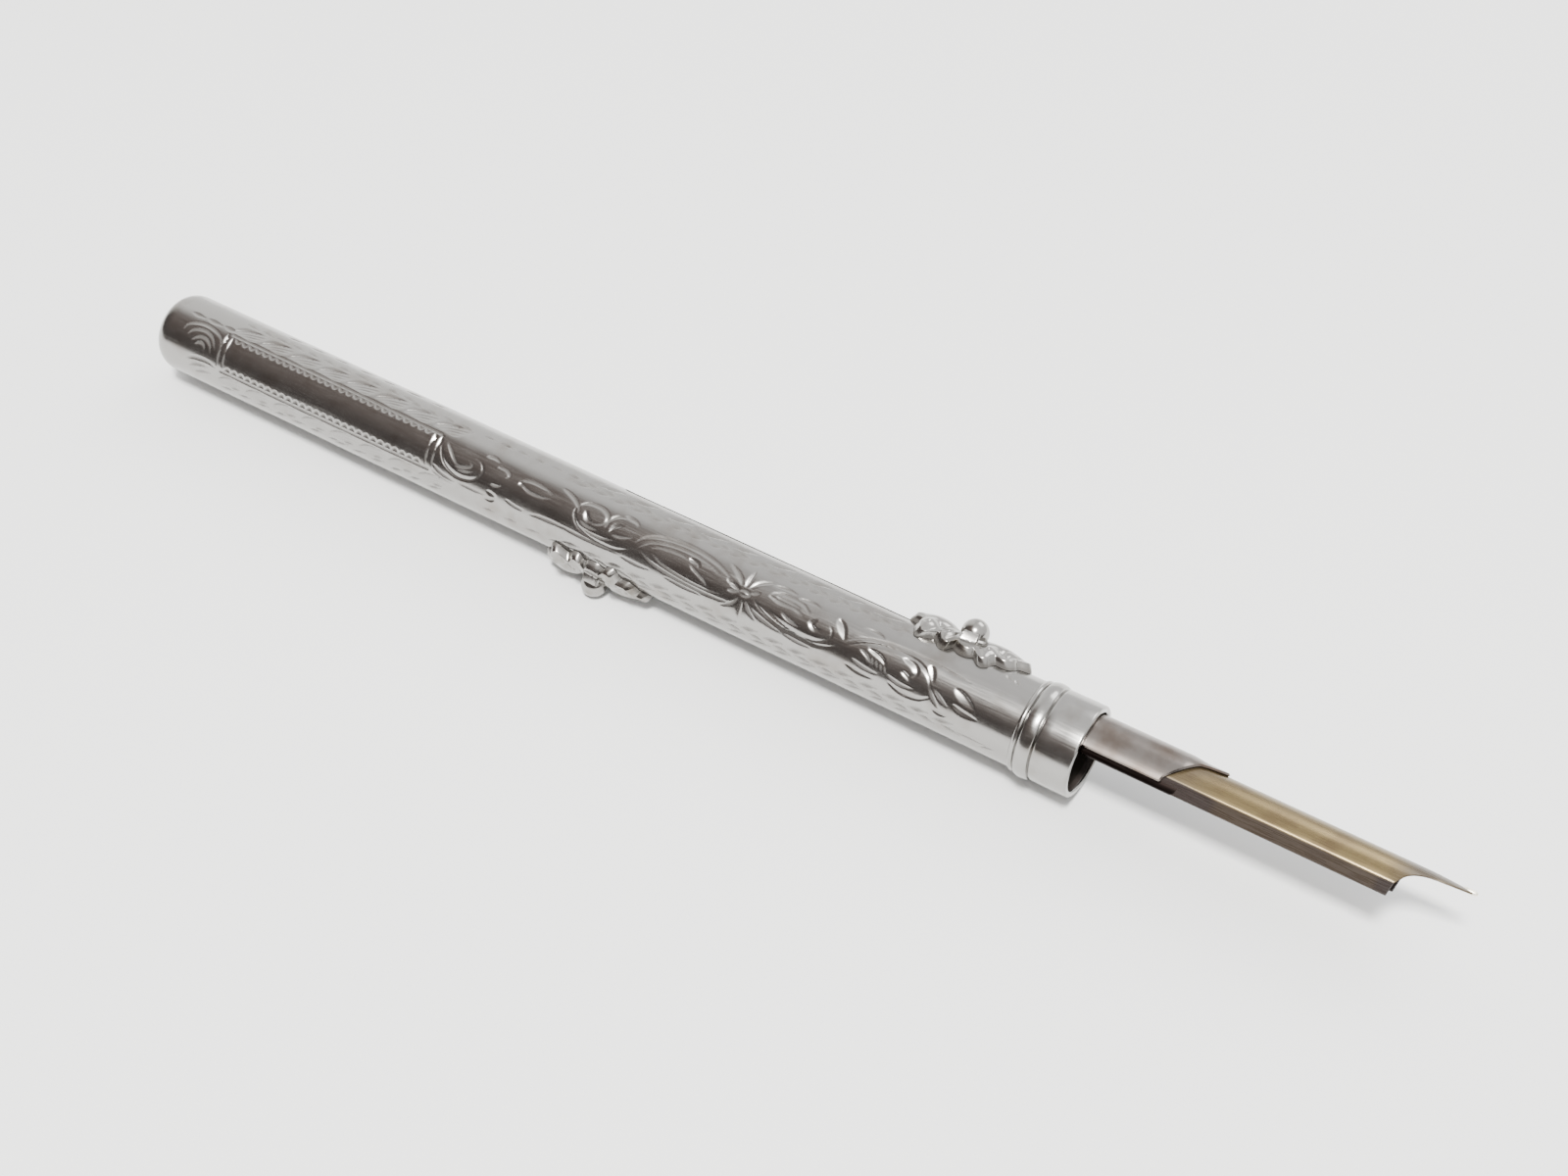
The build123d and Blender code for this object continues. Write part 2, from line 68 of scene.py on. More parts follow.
# ---------------------------------------------------------------- places taken from the frame
joints = {joint["name"]: joint for joint in frame["record"]["behaviour"]["joints"]}
barrel_low, barrel_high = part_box("barrel_tube")
BARREL_R = (barrel_high.y - barrel_low.y) / 2 / MM
TAIL_X, FRONT_X = barrel_low.x / MM, barrel_high.x / MM
twist_y, twist_z = joints["nozzle_twist"]["pos_m"][1:]
PENCIL_PHI = atan2(twist_z, twist_y) % (2 * pi)  # direction of the pencil's slot, from +Y about X
PEN_PHI = PENCIL_PHI - pi


def ends_x(node):
    """The node's rear and front ends along X, in millimetres."""
    low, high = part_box(node)
    return low.x / MM, high.x / MM


def middle_x(node):
    low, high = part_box(node)
    return (low.x + high.x) / 2 / MM


SLOT_X = middle_x("pencil_slider_stud"), middle_x("pen_slider_stud")
SLOT_HALF_W = 0.8
BORE_R = 4.15


# ---------------------------------------------------------------- mesh helpers
def add_piece(name, verts, faces, material, body, replaced, sharp=40.0, attributes=()):
    """A new mesh object from points in millimetres, standing for the CAD nodes it replaces."""
    mesh = bpy.data.meshes.new(name)
    mesh.from_pydata((np.asarray(verts) * MM).tolist(), [], [list(face) for face in faces])
    for label, values in attributes:
        layer = mesh.attributes.new(label, "FLOAT", "POINT")
        layer.data.foreach_set("value", np.asarray(values, np.float32))
    mesh.validate()
    mesh.shade_smooth()
    mesh.set_sharp_from_angle(angle=radians(sharp))
    obj = bpy.data.objects.new(name, mesh)
    bpy.context.scene.collection.objects.link(obj)
    mesh.materials.append(material)
    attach(obj, body)
    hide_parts(*replaced)


# ---------------------------------------------------------------- materials
def new_node(tree, kind, inputs=None, **settings):
    made = tree.nodes.new(kind)
    for key, value in settings.items():
        setattr(made, key, value)
    for key, value in (inputs or {}).items():
        if isinstance(value, bpy.types.NodeSocket):
            tree.links.new(value, made.inputs[key])
        else:
            made.inputs[key].default_value = value
    return made


def spread(tree, value, low, high, to_low=0.0, to_high=1.0, smooth=False):
    made = new_node(
        tree,
        "ShaderNodeMapRange",
        {"Value": value, "From Min": low, "From Max": high, "To Min": to_low, "To Max": to_high},
        interpolation_type="SMOOTHSTEP" if smooth else "LINEAR",
    )
    return made.outputs["Result"]


def noise(tree, coords, scale, stretch=(1, 1, 1), detail=4.0):
    """Noise whose features are about 1/scale of a millimetre, stretched by axis."""
    to_mm = {"Vector": coords, "Scale": [s / MM for s in stretch]}
    mapped = new_node(tree, "ShaderNodeMapping", to_mm).outputs[0]
    settings = {"Vector": mapped, "Scale": scale, "Detail": detail}
    return new_node(tree, "ShaderNodeTexNoise", settings).outputs["Fac"]


def math_node(tree, operation, *values):
    return new_node(tree, "ShaderNodeMath", dict(enumerate(values)), operation=operation).outputs[0]


def mix(tree, factor, a, b):
    made = new_node(tree, "ShaderNodeMix", data_type="RGBA")
    for key, value in (("Factor", factor), ("A", a), ("B", b)):
        socket = next(s for s in made.inputs if s.name == key and s.enabled)
        if isinstance(value, bpy.types.NodeSocket):
            tree.links.new(value, socket)
        else:
            socket.default_value = value
    return next(s for s in made.outputs if s.enabled)


def metal(
    name,
    bright,
    tarnish,
    rough=(0.17, 0.26),
    blotch=(0.5, 0.75),
    blotch_scale=0.35,
    scratch=0.014,
    metallic=1.0,
    dirt_and_shade=None,
    dirt_and_shade_colour=(0.05, 0.03, 0.02),
):
    """Worn metal: blotchy tarnish, fine scratches along X and an uneven polish. An optional mesh
    attribute darkens and dulls the metal where it is high: real dirt in some uses, painted shade
    in others."""
    material = bpy.data.materials.new(name)
    material.use_nodes = True
    tree = material.node_tree
    shader = tree.nodes["Principled BSDF"]
    coords = new_node(tree, "ShaderNodeTexCoord").outputs["Object"]
    cloud = noise(tree, coords, blotch_scale, detail=6.0)
    patches = spread(tree, cloud, *blotch)
    colour = mix(tree, patches, (*bright, 1), (*tarnish, 1))
    if dirt_and_shade:
        marks = new_node(tree, "ShaderNodeAttribute", attribute_name=dirt_and_shade).outputs["Fac"]
        colour = mix(tree, marks, colour, (*dirt_and_shade_colour, 1))
        metallic = spread(tree, marks, 0, 1, metallic, 0.1)
    lines = noise(tree, coords, 1.0, (0.35, 7.0, 7.0), 3.0)
    grain = noise(tree, coords, 3.0, detail=5.0)
    tree.links.new(colour, shader.inputs["Base Color"])
    tree.links.new(spread(tree, lines, 0.35, 0.7, *rough), shader.inputs["Roughness"])
    height = math_node(tree, "ADD", lines, grain)
    bump = new_node(
        tree, "ShaderNodeBump", {"Height": height, "Strength": scratch, "Distance": 0.01 * MM}
    )
    tree.links.new(bump.outputs["Normal"], shader.inputs["Normal"])
    if dirt_and_shade:
        tree.links.new(metallic, shader.inputs["Metallic"])
    else:
        shader.inputs["Metallic"].default_value = metallic
    return material


SILVER, SILVER_TARNISH = (0.325, 0.318, 0.306), (0.25, 0.234, 0.214)
# its dark mark is painted shade on the collar's bore
turned = metal(
    "silver_turned", SILVER, SILVER_TARNISH, dirt_and_shade="painted_shade", dirt_and_shade_colour=(0.06, 0.05, 0.046)
)
silver = metal("silver_plain", SILVER, SILVER_TARNISH)
# its cut mark is dirt in the engraved cuts, and painted shade on the tube's bore
engraved = metal(
    "silver_engraved", (0.32, 0.312, 0.3), (0.255, 0.238, 0.22), dirt_and_shade="cut",
    dirt_and_shade_colour=(0.04, 0.034, 0.029),
)
cast = metal(
    "silver_cast", (0.32, 0.31, 0.295), (0.17, 0.155, 0.135), rough=(0.16, 0.26), dirt_and_shade="cut",
    dirt_and_shade_colour=(0.028, 0.023, 0.019),
)
sheath_metal = metal(
    "silver_stained", (0.185, 0.165, 0.152), (0.115, 0.088, 0.072), rough=(0.22, 0.26),
    blotch=(0.4, 0.66), blotch_scale=0.3, scratch=0.008,
)
# near-black bed: partly painted shade, standing for the bed and the shadow under the sheath together
bed_metal_painted_shade = metal("silver_black_painted_shade", (0.013, 0.0095, 0.0085), (0.008, 0.006, 0.005), rough=(0.18, 0.26))
# the nib's dark mark is brown on the heel and point, and painted shade on the side walls
gilt = metal(
    "gilt", (0.185, 0.139, 0.07), (0.128, 0.092, 0.052), rough=(0.24, 0.36), dirt_and_shade="dirt_and_shade",
    dirt_and_shade_colour=(0.018, 0.012, 0.01),
)
pellet_metal = metal(
    "pellet_alloy", (0.98, 0.93, 0.8), (0.9, 0.84, 0.7), rough=(0.34, 0.44), metallic=0.8
)
brass = metal("slide_brass", (0.4, 0.3, 0.15), (0.2, 0.13, 0.06), rough=(0.3, 0.45))
steel = metal("spring_steel", (0.2, 0.21, 0.23), (0.09, 0.085, 0.09), rough=(0.25, 0.4))
graphite = metal("graphite", (0.05, 0.05, 0.054), (0.02, 0.02, 0.02), rough=(0.4, 0.6), metallic=0.2)

node_metals = {
    "engraved_silver": silver,
    "plain_silver": silver,
    "cast_silver": silver,
    "sheath_silver": sheath_metal,
    "bed_silver": bed_metal_painted_shade,
    "nib_gilt": brass,
    "pellet_alloy": pellet_metal,
    "slide_brass": brass,
    "spring_steel": steel,
    "pencil_silver": silver,
    "graphite": graphite,
}
for part in frame["record"]["subparts"]:
    node = frame["nodes"][part["node"]]
    node.data.materials.clear()
    node.data.materials.append(node_metals[part["material_slot"]])


# ---------------------------------------------------------------- the engraved pattern
# Strokes are drawn on a flat panel between the two slots: u is X and v is the distance round
# the barrel from the panel's middle, both in millimetres. Points are (X, degrees from +Y).
PANEL_PHI = degrees(PEN_PHI) + 90.0
FINE, PLAIN, BRIGHT, DEEP = 0.07, 0.095, 0.14, 0.2  # depths of cut
WIDEN = 1.15  # how much wider a cut is than its drawn line
PATH_STEP = 0.12
DIRT, BRIGHT_DIRT = 0.75, 0.1  # dirt in a cut; the bright ones are nearly clean


class Stroke:
    """A cut that swells from its start and runs out to a point.

    A lean up to 1 widens the side that faces the front of the pen, and a negative one the other
    side. A blunt cut keeps at least that share of its width to its ends.
    """

    def __init__(self, points, width, depth, lean=0.0, blunt=0.0):
        path = np.array([(x, radians(phi - PANEL_PHI) * BARREL_R) for x, phi in points])
        self.path = smooth_path(path, PATH_STEP)
        self.width, self.depth, self.blunt = width * WIDEN, depth, blunt
        self.lean = -lean if path[-1, 1] > path[0, 1] else lean


def smooth_path(points, step):
    """Points about a step apart along the curve through the given ones."""
    if len(points) > 2:
        ends = np.vstack([2 * points[0] - points[1], points, 2 * points[-1] - points[-2]])
        runs = []
        for a, b, c, d in zip(ends, ends[1:], ends[2:], ends[3:]):
            t = np.linspace(0, 1, 9)[:-1, None]
            runs.append(
                0.5 * (2 * b + (c - a) * t + (2 * a - 5 * b + 4 * c - d) * t**2
                       + (3 * b - a - 3 * c + d) * t**3)
            )
        points = np.vstack([*runs, points[-1:]])
    along = np.r_[0, np.cumsum(np.hypot(*np.diff(points, axis=0).T))]
    places = np.linspace(0, along[-1], max(3, ceil(along[-1] / step) + 1))
    return np.column_stack([np.interp(places, along, column) for column in points.T])


def cut_strokes(strokes, x_rows, v_columns):
    """Depth of the pattern, and the dirt in it, at each point of a grid of rows and columns."""
    depth = np.zeros((len(x_rows), len(v_columns)))
    dirt = np.zeros_like(depth)
    for stroke in strokes:
        half = stroke.width / 2
        low, high = stroke.path.min(0) - half, stroke.path.max(0) + half
        i0, i1 = np.searchsorted(x_rows, (low[0], high[0]))
        j0, j1 = np.searchsorted(v_columns, (low[1], high[1]))
        if i0 >= i1 or j0 >= j1:
            continue
        grid = np.stack(np.meshgrid(x_rows[i0:i1], v_columns[j0:j1], indexing="ij"), -1)
        start, run = stroke.path[:-1], np.diff(stroke.path, axis=0)
        offset = grid[:, :, None] - start
        share = np.clip((offset * run).sum(-1) / (run * run).sum(-1), 0, 1)
        away = offset - share[..., None] * run
        distance = np.hypot(away[..., 0], away[..., 1])
        nearest = distance.argmin(-1)[..., None]
        place = (nearest + np.take_along_axis(share, nearest, -1))[..., 0] / len(run)
        distance = np.take_along_axis(distance, nearest, -1)[..., 0]
        side = np.take_along_axis(run[:, 0] * away[..., 1] - run[:, 1] * away[..., 0], nearest, -1)
        swell = np.maximum(np.sin(pi * place**0.8) ** 0.7, stroke.blunt)
        reach = np.maximum(half * swell, 1e-6)
        across = np.sign(side[..., 0]) * distance / reach
        deepest = stroke.lean
        ramp = np.where(across < deepest, (across + 1) / (1 + deepest), (1 - across) / (1 - deepest))
        shape = np.where(np.abs(across) < 1, swell * ramp, 0)
        soil = BRIGHT_DIRT if stroke.depth >= BRIGHT else DIRT
        for layer, most in ((depth, stroke.depth), (dirt, soil)):
            block = layer[i0:i1, j0:j1]
            np.maximum(block, most * shape, out=block)
    return depth, dirt


DASH_SCALE, DASH_WIDEN = 1.15, 1.2


def dashes(x0, x1, pitch, phi, dx, dphi, width=0.3, depth=FINE, lean=0.0):
    """An uneven row of short cuts, each running about as far as (dx, dphi)."""

    def jitter(size):
        return rng.uniform(-size, size)

    strokes = []
    for k in range(int((x1 - x0) / pitch) + 1):
        x = x0 + k * pitch
        start = x + jitter(0.08), phi + jitter(0.6)
        end = x + DASH_SCALE * dx * (1 + jitter(0.1)), phi + dphi * (1 + jitter(0.1))
        wide, deep = DASH_WIDEN * width * (1 + jitter(0.15)), DASH_SCALE * depth * (1 + jitter(0.2))
        strokes.append(Stroke([start, end], wide, deep, lean, 0.5))
    return strokes


def rear_panel():
    """A plain cartouche between bars, with feathers and dash rows along it."""
    strokes = [
        Stroke([(-106, 105), (-90, 106), (-76.3, 108)], 0.34, PLAIN, blunt=0.9),
        Stroke([(-106, 162), (-90, 162.5), (-76.3, 161)], 0.34, PLAIN, blunt=0.9),
    ]
    for x in np.arange(-105.4, -77.4, 1.0):  # scalloped edges
        for edge, tip in ((108, 113), (159.5, 154.5)):
            scallop = [(x, edge), (x + 0.5, tip), (x + 1.0, edge)]
            strokes.append(Stroke(scallop, 0.36, PLAIN, blunt=0.6))
    bars = (-106.6, 107, 126), (-105.8, 109, 131), (-76.9, 109, 128), (-76.05, 110, 130)
    for x, top, foot in bars:
        bar = [(x, top), (x + 0.05, (top + foot) / 2), (x, foot)]
        strokes.append(Stroke(bar, 0.46, BRIGHT, 0.5, 0.6))
        strokes.append(Stroke([(x, foot + 3), (x + 0.05, 158)], 0.3, FINE))
    for x in np.arange(-106.5, -76.5, 4.1):
        strokes += feather(x, 100, 4.0, -16) + feather(x, 181, 3.8, -13)
    strokes += dashes(-105.8, -83, 2.25, 75.5, 1.35, 3.5, 0.44, PLAIN, 0.4)
    strokes += dashes(-82, -73, 2.3, 80, 1.35, 5, 0.44, PLAIN, 0.4)
    strokes += dashes(-106, -90, 2.6, 190, 1.5, -4, 0.44, PLAIN, 0.4)
    strokes += dashes(-89.5, -75, 2.6, 192, 1.6, -7, 0.44, PLAIN, 0.4)
    strokes += dashes(-101, -78, 3.4, 60, 1.8, -3, 0.34, FINE)
    strokes += dashes(-112.5, -107.5, 2.4, 98, 1.6, 1, 0.4, PLAIN)
    for points in (
        [(-112.3, 128), (-111.8, 116), (-110.2, 108.5), (-108.3, 111), (-107, 120), (-106.6, 136)],
        [(-111.6, 132), (-110.8, 121), (-109.4, 117), (-108.1, 123), (-107.2, 138)],
        [(-110.8, 137), (-109.9, 128), (-108.9, 127), (-108.1, 134), (-107.8, 145)],
        [(-110.2, 140), (-109.5, 135), (-108.9, 137), (-108.7, 143)],
        [(-111.2, 166), (-109.9, 159), (-107.9, 156.5), (-106.4, 162)],
        [(-110.8, 176), (-109.2, 167), (-107.5, 164.5)],
        [(-110, 183), (-108.6, 176), (-107.2, 173)],
    ):
        strokes.append(Stroke(points, 0.46, PLAIN, 0.4))
    return strokes


def feather(x, phi, dx, dphi):
    """A leaf of five cuts fanning from its foot."""

    def at(along, across, more_x=0.0, more_phi=0.0):
        return x + dx * along + more_x, phi + dphi * across + more_phi

    return [
        Stroke([at(0, 0), at(0.45, 0.62), at(1, 1)], 0.8, DEEP, -0.6),
        Stroke([at(0, 0, 0.7, 0.5), at(0.7, 0.42), at(1.08, 0.72)], 0.6, BRIGHT, -0.6),
        Stroke([at(0, 0, 1.4, 1), at(0.76, 0.2), at(0.98, 0.4)], 0.5, BRIGHT, -0.5),
        Stroke([at(0, 0, 2, 2.2), at(0.8, 0.02), at(0.9, 0.12)], 0.34, FINE),
        Stroke([at(0, 0.35, 0.1), at(0.3, 0.85), at(0.72, 1.15)], 0.4, PLAIN),
    ]


def middle_scrolls():
    """Scrolls between the cartouche and the long panel of leaves."""
    cuts = (
        ([(-75.6, 118), (-75.2, 130), (-74.3, 143), (-72.6, 151), (-70.8, 147), (-69.8, 134),
          (-70.2, 122), (-71.3, 118)], 0.55, BRIGHT, 0.4),
        ([(-75.1, 114), (-74.2, 124), (-73.2, 135), (-72.3, 139)], 0.34, PLAIN, 0),
        ([(-73.2, 139), (-72.2, 137), (-71.2, 131), (-71.6, 126)], 0.42, PLAIN, 0.4),
        ([(-72.8, 143), (-71.6, 141), (-70.7, 136)], 0.3, FINE, 0),
        ([(-75.9, 150), (-74.5, 159), (-72.5, 161.5)], 0.42, PLAIN, 0.3),
        ([(-76, 158), (-74.5, 165), (-72.9, 166)], 0.3, FINE, 0),
        ([(-72.5, 160), (-70, 160.5), (-68.4, 158.5)], 0.3, FINE, 0),
        ([(-68.6, 152), (-67.6, 157), (-68, 163), (-69, 164)], 0.6, BRIGHT, 0.3),
        ([(-70.2, 109), (-69.2, 107), (-68.3, 110)], 0.36, PLAIN, 0),
        ([(-68.4, 117), (-67.3, 116), (-66.6, 121), (-67, 127)], 0.36, PLAIN, 0.3),
        ([(-68.5, 142), (-67.6, 141), (-66.9, 137)], 0.32, PLAIN, 0),
        ([(-65.2, 122), (-64, 115.5), (-62.2, 116), (-60.8, 120)], 0.36, PLAIN, 0),
        ([(-65, 123), (-63.8, 129), (-62.2, 129), (-60.9, 125)], 0.36, PLAIN, 0),
        ([(-65.1, 121), (-64.8, 126)], 0.6, BRIGHT, 0),
        ([(-63, 157), (-61.5, 154), (-59, 153), (-57.5, 153.5)], 0.36, PLAIN, 0.3),
        ([(-66.2, 152), (-64.8, 156), (-63.4, 156)], 0.3, FINE, 0),
    )
    rows = dashes(-72, -60.5, 2.2, 80, 1.3, 1, 0.34, PLAIN, 0.4)
    rows += dashes(-69, -60, 2.9, 183, 1.4, -3, 0.36, PLAIN)
    return [Stroke(*cut) for cut in cuts] + rows


def long_panel():
    """The leafy scrollwork that runs from the flower to the collar."""
    cuts = (
        # curled leaves at the tail end of the panel
        ([(-60.4, 105), (-59, 110), (-57.8, 119), (-57.4, 128)], 0.4, PLAIN, 0.3),
        ([(-58, 118), (-57.8, 132), (-56.8, 145), (-54.8, 151.5), (-52.4, 151), (-50.7, 143),
          (-50.2, 136)], 0.5, BRIGHT, 0.4),
        ([(-57.9, 120), (-56.9, 109.5), (-55.3, 108), (-54.3, 114), (-54.2, 124), (-55.2, 131),
          (-56.3, 130)], 0.44, PLAIN, 0.3),
        ([(-56.8, 119), (-56.4, 128), (-55.6, 132)], 0.6, BRIGHT, 0.4),
        ([(-57.1, 134), (-55.9, 138), (-54.6, 137)], 0.32, FINE, 0),
        ([(-57.4, 141), (-55.6, 145), (-53.8, 144), (-52.4, 139)], 0.34, PLAIN, 0),
        ([(-54, 131), (-53.9, 119), (-53.2, 108.5), (-52, 105)], 0.4, PLAIN, 0.3),
        ([(-53.4, 132), (-53, 122), (-52.1, 116)], 0.5, BRIGHT, 0.4),
        ([(-52.6, 103), (-51.2, 105), (-50.6, 110)], 0.42, PLAIN, 0),
        ([(-59.6, 152), (-57, 154.5), (-54, 154.5), (-51, 153)], 0.32, PLAIN, 0.3),
        ([(-53, 134), (-51.8, 132), (-50.6, 126)], 0.3, FINE, 0),
        # the long arch and its reserve
        ([(-50.3, 131), (-49.4, 119), (-47.8, 109.5), (-45.4, 104.5), (-42.8, 105), (-40.4, 112),
          (-38.2, 124)], 0.5, PLAIN, 0.4),
        ([(-49.7, 134), (-48.4, 121), (-46.6, 113.5), (-44.2, 111.5), (-41.8, 115), (-40, 122)],
         0.38, PLAIN, 0.3),
        ([(-48.4, 128), (-47, 122), (-45, 120), (-43.4, 123)], 0.34, FINE, 0),
        ([(-44, 119), (-42.9, 121), (-42.6, 125)], 0.5, BRIGHT, 0.3),
        ([(-49.3, 137), (-47.8, 145), (-45.2, 150.5), (-42, 152.5), (-38.8, 150.5), (-37.2, 143)],
         0.44, PLAIN, 0.3),
        ([(-48, 133), (-46.6, 141), (-44, 146), (-41, 147), (-39, 143)], 0.3, FINE, 0),
        ([(-46, 155), (-43.5, 157), (-41, 156)], 0.3, PLAIN, 0),
        ([(-51.4, 155), (-49.4, 157), (-47.6, 155)], 0.3, PLAIN, 0),
        # the flower
        ([(-37.1, 122), (-37.05, 108), (-37, 95)], 0.5, BRIGHT, 0.2),
        ([(-36.7, 121), (-35.9, 109), (-34.4, 99)], 0.46, PLAIN, 0.3),
        ([(-37.5, 121), (-38.5, 110), (-39.9, 101)], 0.46, PLAIN, 0.3),
        ([(-37, 138), (-37, 152), (-36.9, 167)], 0.54, BRIGHT, 0.2),
        ([(-37.4, 138), (-38, 149), (-39.2, 158)], 0.42, PLAIN, 0),
        ([(-36.6, 138), (-35.9, 149), (-34.9, 158)], 0.42, PLAIN, 0),
        ([(-38.9, 124), (-38.1, 126), (-37.5, 129)], 0.5, BRIGHT, 0),
        ([(-38.9, 134), (-38.1, 133), (-37.5, 131)], 0.42, PLAIN, 0),
        ([(-35.4, 122), (-36, 125), (-36.6, 128)], 0.42, PLAIN, 0),
        ([(-37.7, 130), (-37, 126.5), (-36.4, 130), (-37, 133.5), (-37.6, 131)], 0.34, PLAIN, 0),
        # the deep scroll in front of the flower
        ([(-35.9, 131), (-34.8, 140), (-33, 148.5), (-30.6, 153), (-28.2, 152), (-26.4, 145),
          (-25.4, 134)], 0.62, BRIGHT, 0.5),
        ([(-34, 136), (-32.4, 143), (-30.2, 147.5), (-28.2, 145.5), (-27, 137), (-26.9, 127),
          (-27.5, 120)], 0.6, BRIGHT, 0.5),
        ([(-28.8, 121), (-29.3, 128), (-28.7, 134), (-27.9, 131)], 0.55, BRIGHT, 0.4),
        ([(-26.9, 108), (-26.1, 118), (-25.3, 131)], 0.75, BRIGHT, 0.5),
        ([(-34.4, 115), (-33, 110), (-31, 111), (-29.8, 118)], 0.42, PLAIN, 0.3),
        ([(-34.6, 118), (-33.2, 121), (-31.4, 121), (-30.2, 125)], 0.36, PLAIN, 0),
        ([(-33.8, 116.5), (-32.2, 115.5), (-30.8, 118)], 0.3, FINE, 0),
        ([(-36, 143), (-34.7, 150), (-33, 155), (-31.6, 157)], 0.42, PLAIN, 0.3),
        ([(-32.6, 131), (-31.6, 137), (-30.2, 140)], 0.36, PLAIN, 0),
        ([(-31.8, 156), (-29.8, 158.5), (-28.2, 157.5)], 0.36, PLAIN, 0),
        ([(-34.6, 104), (-33.2, 101.5), (-31.8, 103)], 0.36, PLAIN, 0),
        ([(-31.6, 106), (-30.2, 104), (-29, 106)], 0.36, PLAIN, 0),
        # the last scroll and the bright leaves behind the collar
        ([(-25.4, 131), (-23.8, 119), (-21.6, 111.5), (-18.6, 108), (-15.4, 108.5), (-12.2, 110.5)],
         0.46, PLAIN, 0.4),
        ([(-25, 135), (-23, 122), (-20.8, 115.5), (-18.6, 114.5), (-17, 119), (-16, 129), (-15.4, 141),
          (-14.6, 149)], 0.5, BRIGHT, 0.5),
        ([(-16.4, 112), (-16, 122), (-15.4, 133)], 0.8, BRIGHT, 0.5),
        ([(-19.2, 118), (-17.9, 122), (-17.4, 131), (-18.2, 139)], 0.65, BRIGHT, 0.5),
        ([(-18.9, 134), (-18, 139), (-17.6, 144)], 0.5, BRIGHT, 0.3),
        ([(-22.8, 126), (-21.5, 129.5), (-20.7, 135), (-20.6, 142)], 0.5, BRIGHT, 0.4),
        ([(-23.6, 130), (-22.6, 136), (-21.8, 144)], 0.34, PLAIN, 0),
        ([(-24.2, 146), (-22.6, 151), (-20.8, 152)], 0.36, PLAIN, 0),
        ([(-19.8, 154), (-18.2, 160), (-16.4, 158), (-15.2, 149)], 0.55, BRIGHT, 0.5),
        ([(-20.2, 146), (-18.7, 151), (-17, 150)], 0.4, PLAIN, 0),
        ([(-15.6, 139), (-14.9, 149), (-14, 160)], 0.4, PLAIN, 0),
        ([(-15.1, 137), (-14.2, 145), (-13.2, 153)], 0.4, PLAIN, 0),
        ([(-14.8, 162), (-13.9, 165), (-12.9, 163)], 0.5, BRIGHT, 0),
        ([(-13.2, 126), (-12.1, 133), (-10.6, 141)], 0.95, BRIGHT, 0.5),
        ([(-13, 145), (-11.8, 150), (-10, 151)], 0.6, BRIGHT, 0.3),
        ([(-15.9, 107), (-14.6, 110.5), (-12, 112)], 0.34, PLAIN, 0),
        ([(-24.6, 156), (-23, 160.5), (-21, 160)], 0.46, BRIGHT, 0),
        ([(-21.8, 107), (-22.8, 104), (-24.2, 105)], 0.36, PLAIN, 0),
        # touches at the front
        ([(-9.6, 79), (-8.6, 86)], 0.4, PLAIN, 0),
        ([(-8.6, 81), (-7.8, 87)], 0.4, PLAIN, 0),
        ([(-12, 181), (-10.2, 181.5), (-8.4, 181)], 0.3, PLAIN, 0),
        ([(-9.4, 188), (-8.4, 184), (-7.6, 181)], 0.34, PLAIN, 0),
    )
    strokes = [Stroke(*cut) for cut in cuts]
    for k in range(5):  # hatching in the reserve
        for x, phi, dx, dphi, step_x, steps_phi, width in (
            (-43.6, 126, 1.0, 8, 0.38, (2, 2), 0.24),
            (-39.3, 121, 0.6, 6, 0.3, (1.5, 1.5), 0.22),
            (-22.6, 133, 0.4, 10, 0.5, (1.2, 1), 0.22),
        ):
            start = x + step_x * k, phi + steps_phi[0] * k
            end = x + dx + step_x * k, phi + dphi + steps_phi[1] * k
            strokes.append(Stroke([start, end], width, FINE))
    strokes += dashes(-59.8, -21, 2.35, 88, 1.6, -3.5, 0.5, PLAIN, 0.4)
    strokes += dashes(-58.8, -21, 2.35, 80.5, 1.5, 3.5, 0.46, PLAIN, 0.4)
    strokes += dashes(-57.2, -22, 4.1, 74, 2.3, -7, 0.46, PLAIN, 0.3)
    strokes += dashes(-58.4, -13, 2.75, 176, 1.7, -4.5, 0.5, PLAIN, 0.4)
    strokes += dashes(-57.4, -13, 2.75, 181, 1.6, 3.5, 0.44, PLAIN, 0.4)
    strokes += dashes(-49, -18, 2.75, 192, 1.8, -6, 0.44, PLAIN, 0.3)
    return strokes


PATTERN_X = -112.6, -7.6  # the pattern's ends
ROW_STEP = 0.13
BORE_ROW = 20  # one row in this many goes through to the bore
SLOT_ROUND = 2.5  # how far the rows bend round a slot's end
DENTS_FADE = 6.0


def barrel_rows():
    """X of each ring of points. The rows are close where the pattern is."""

    def spaced(start, end, step, block=1):
        count = block * ceil((end - start) / step / block)
        return np.linspace(start, end, count + 1)

    marks = PATTERN_X[0], *SLOT_X, PATTERN_X[1]
    fine = [spaced(a, b, ROW_STEP, BORE_ROW)[:-1] for a, b in zip(marks, marks[1:])]
    tail, front = spaced(TAIL_X, PATTERN_X[0], 0.5)[:-1], spaced(PATTERN_X[1], FRONT_X, 0.6)
    return np.concatenate([tail, *fine, front])


def barrel_dents(x, angles):
    """The wear of a thin tube, fading out towards both its ends."""
    dents = 0.012 * np.sin(x / 6.1 + 1.3) * np.cos(2 * angles + 0.4)
    dents = dents + 0.008 * np.sin(x / 2.7 + 3 * angles)
    tail = np.clip((x - TAIL_X) / DENTS_FADE, 0, 1)
    return dents * tail * np.clip((FRONT_X - DENTS_FADE - x) / DENTS_FADE, 0, 1)


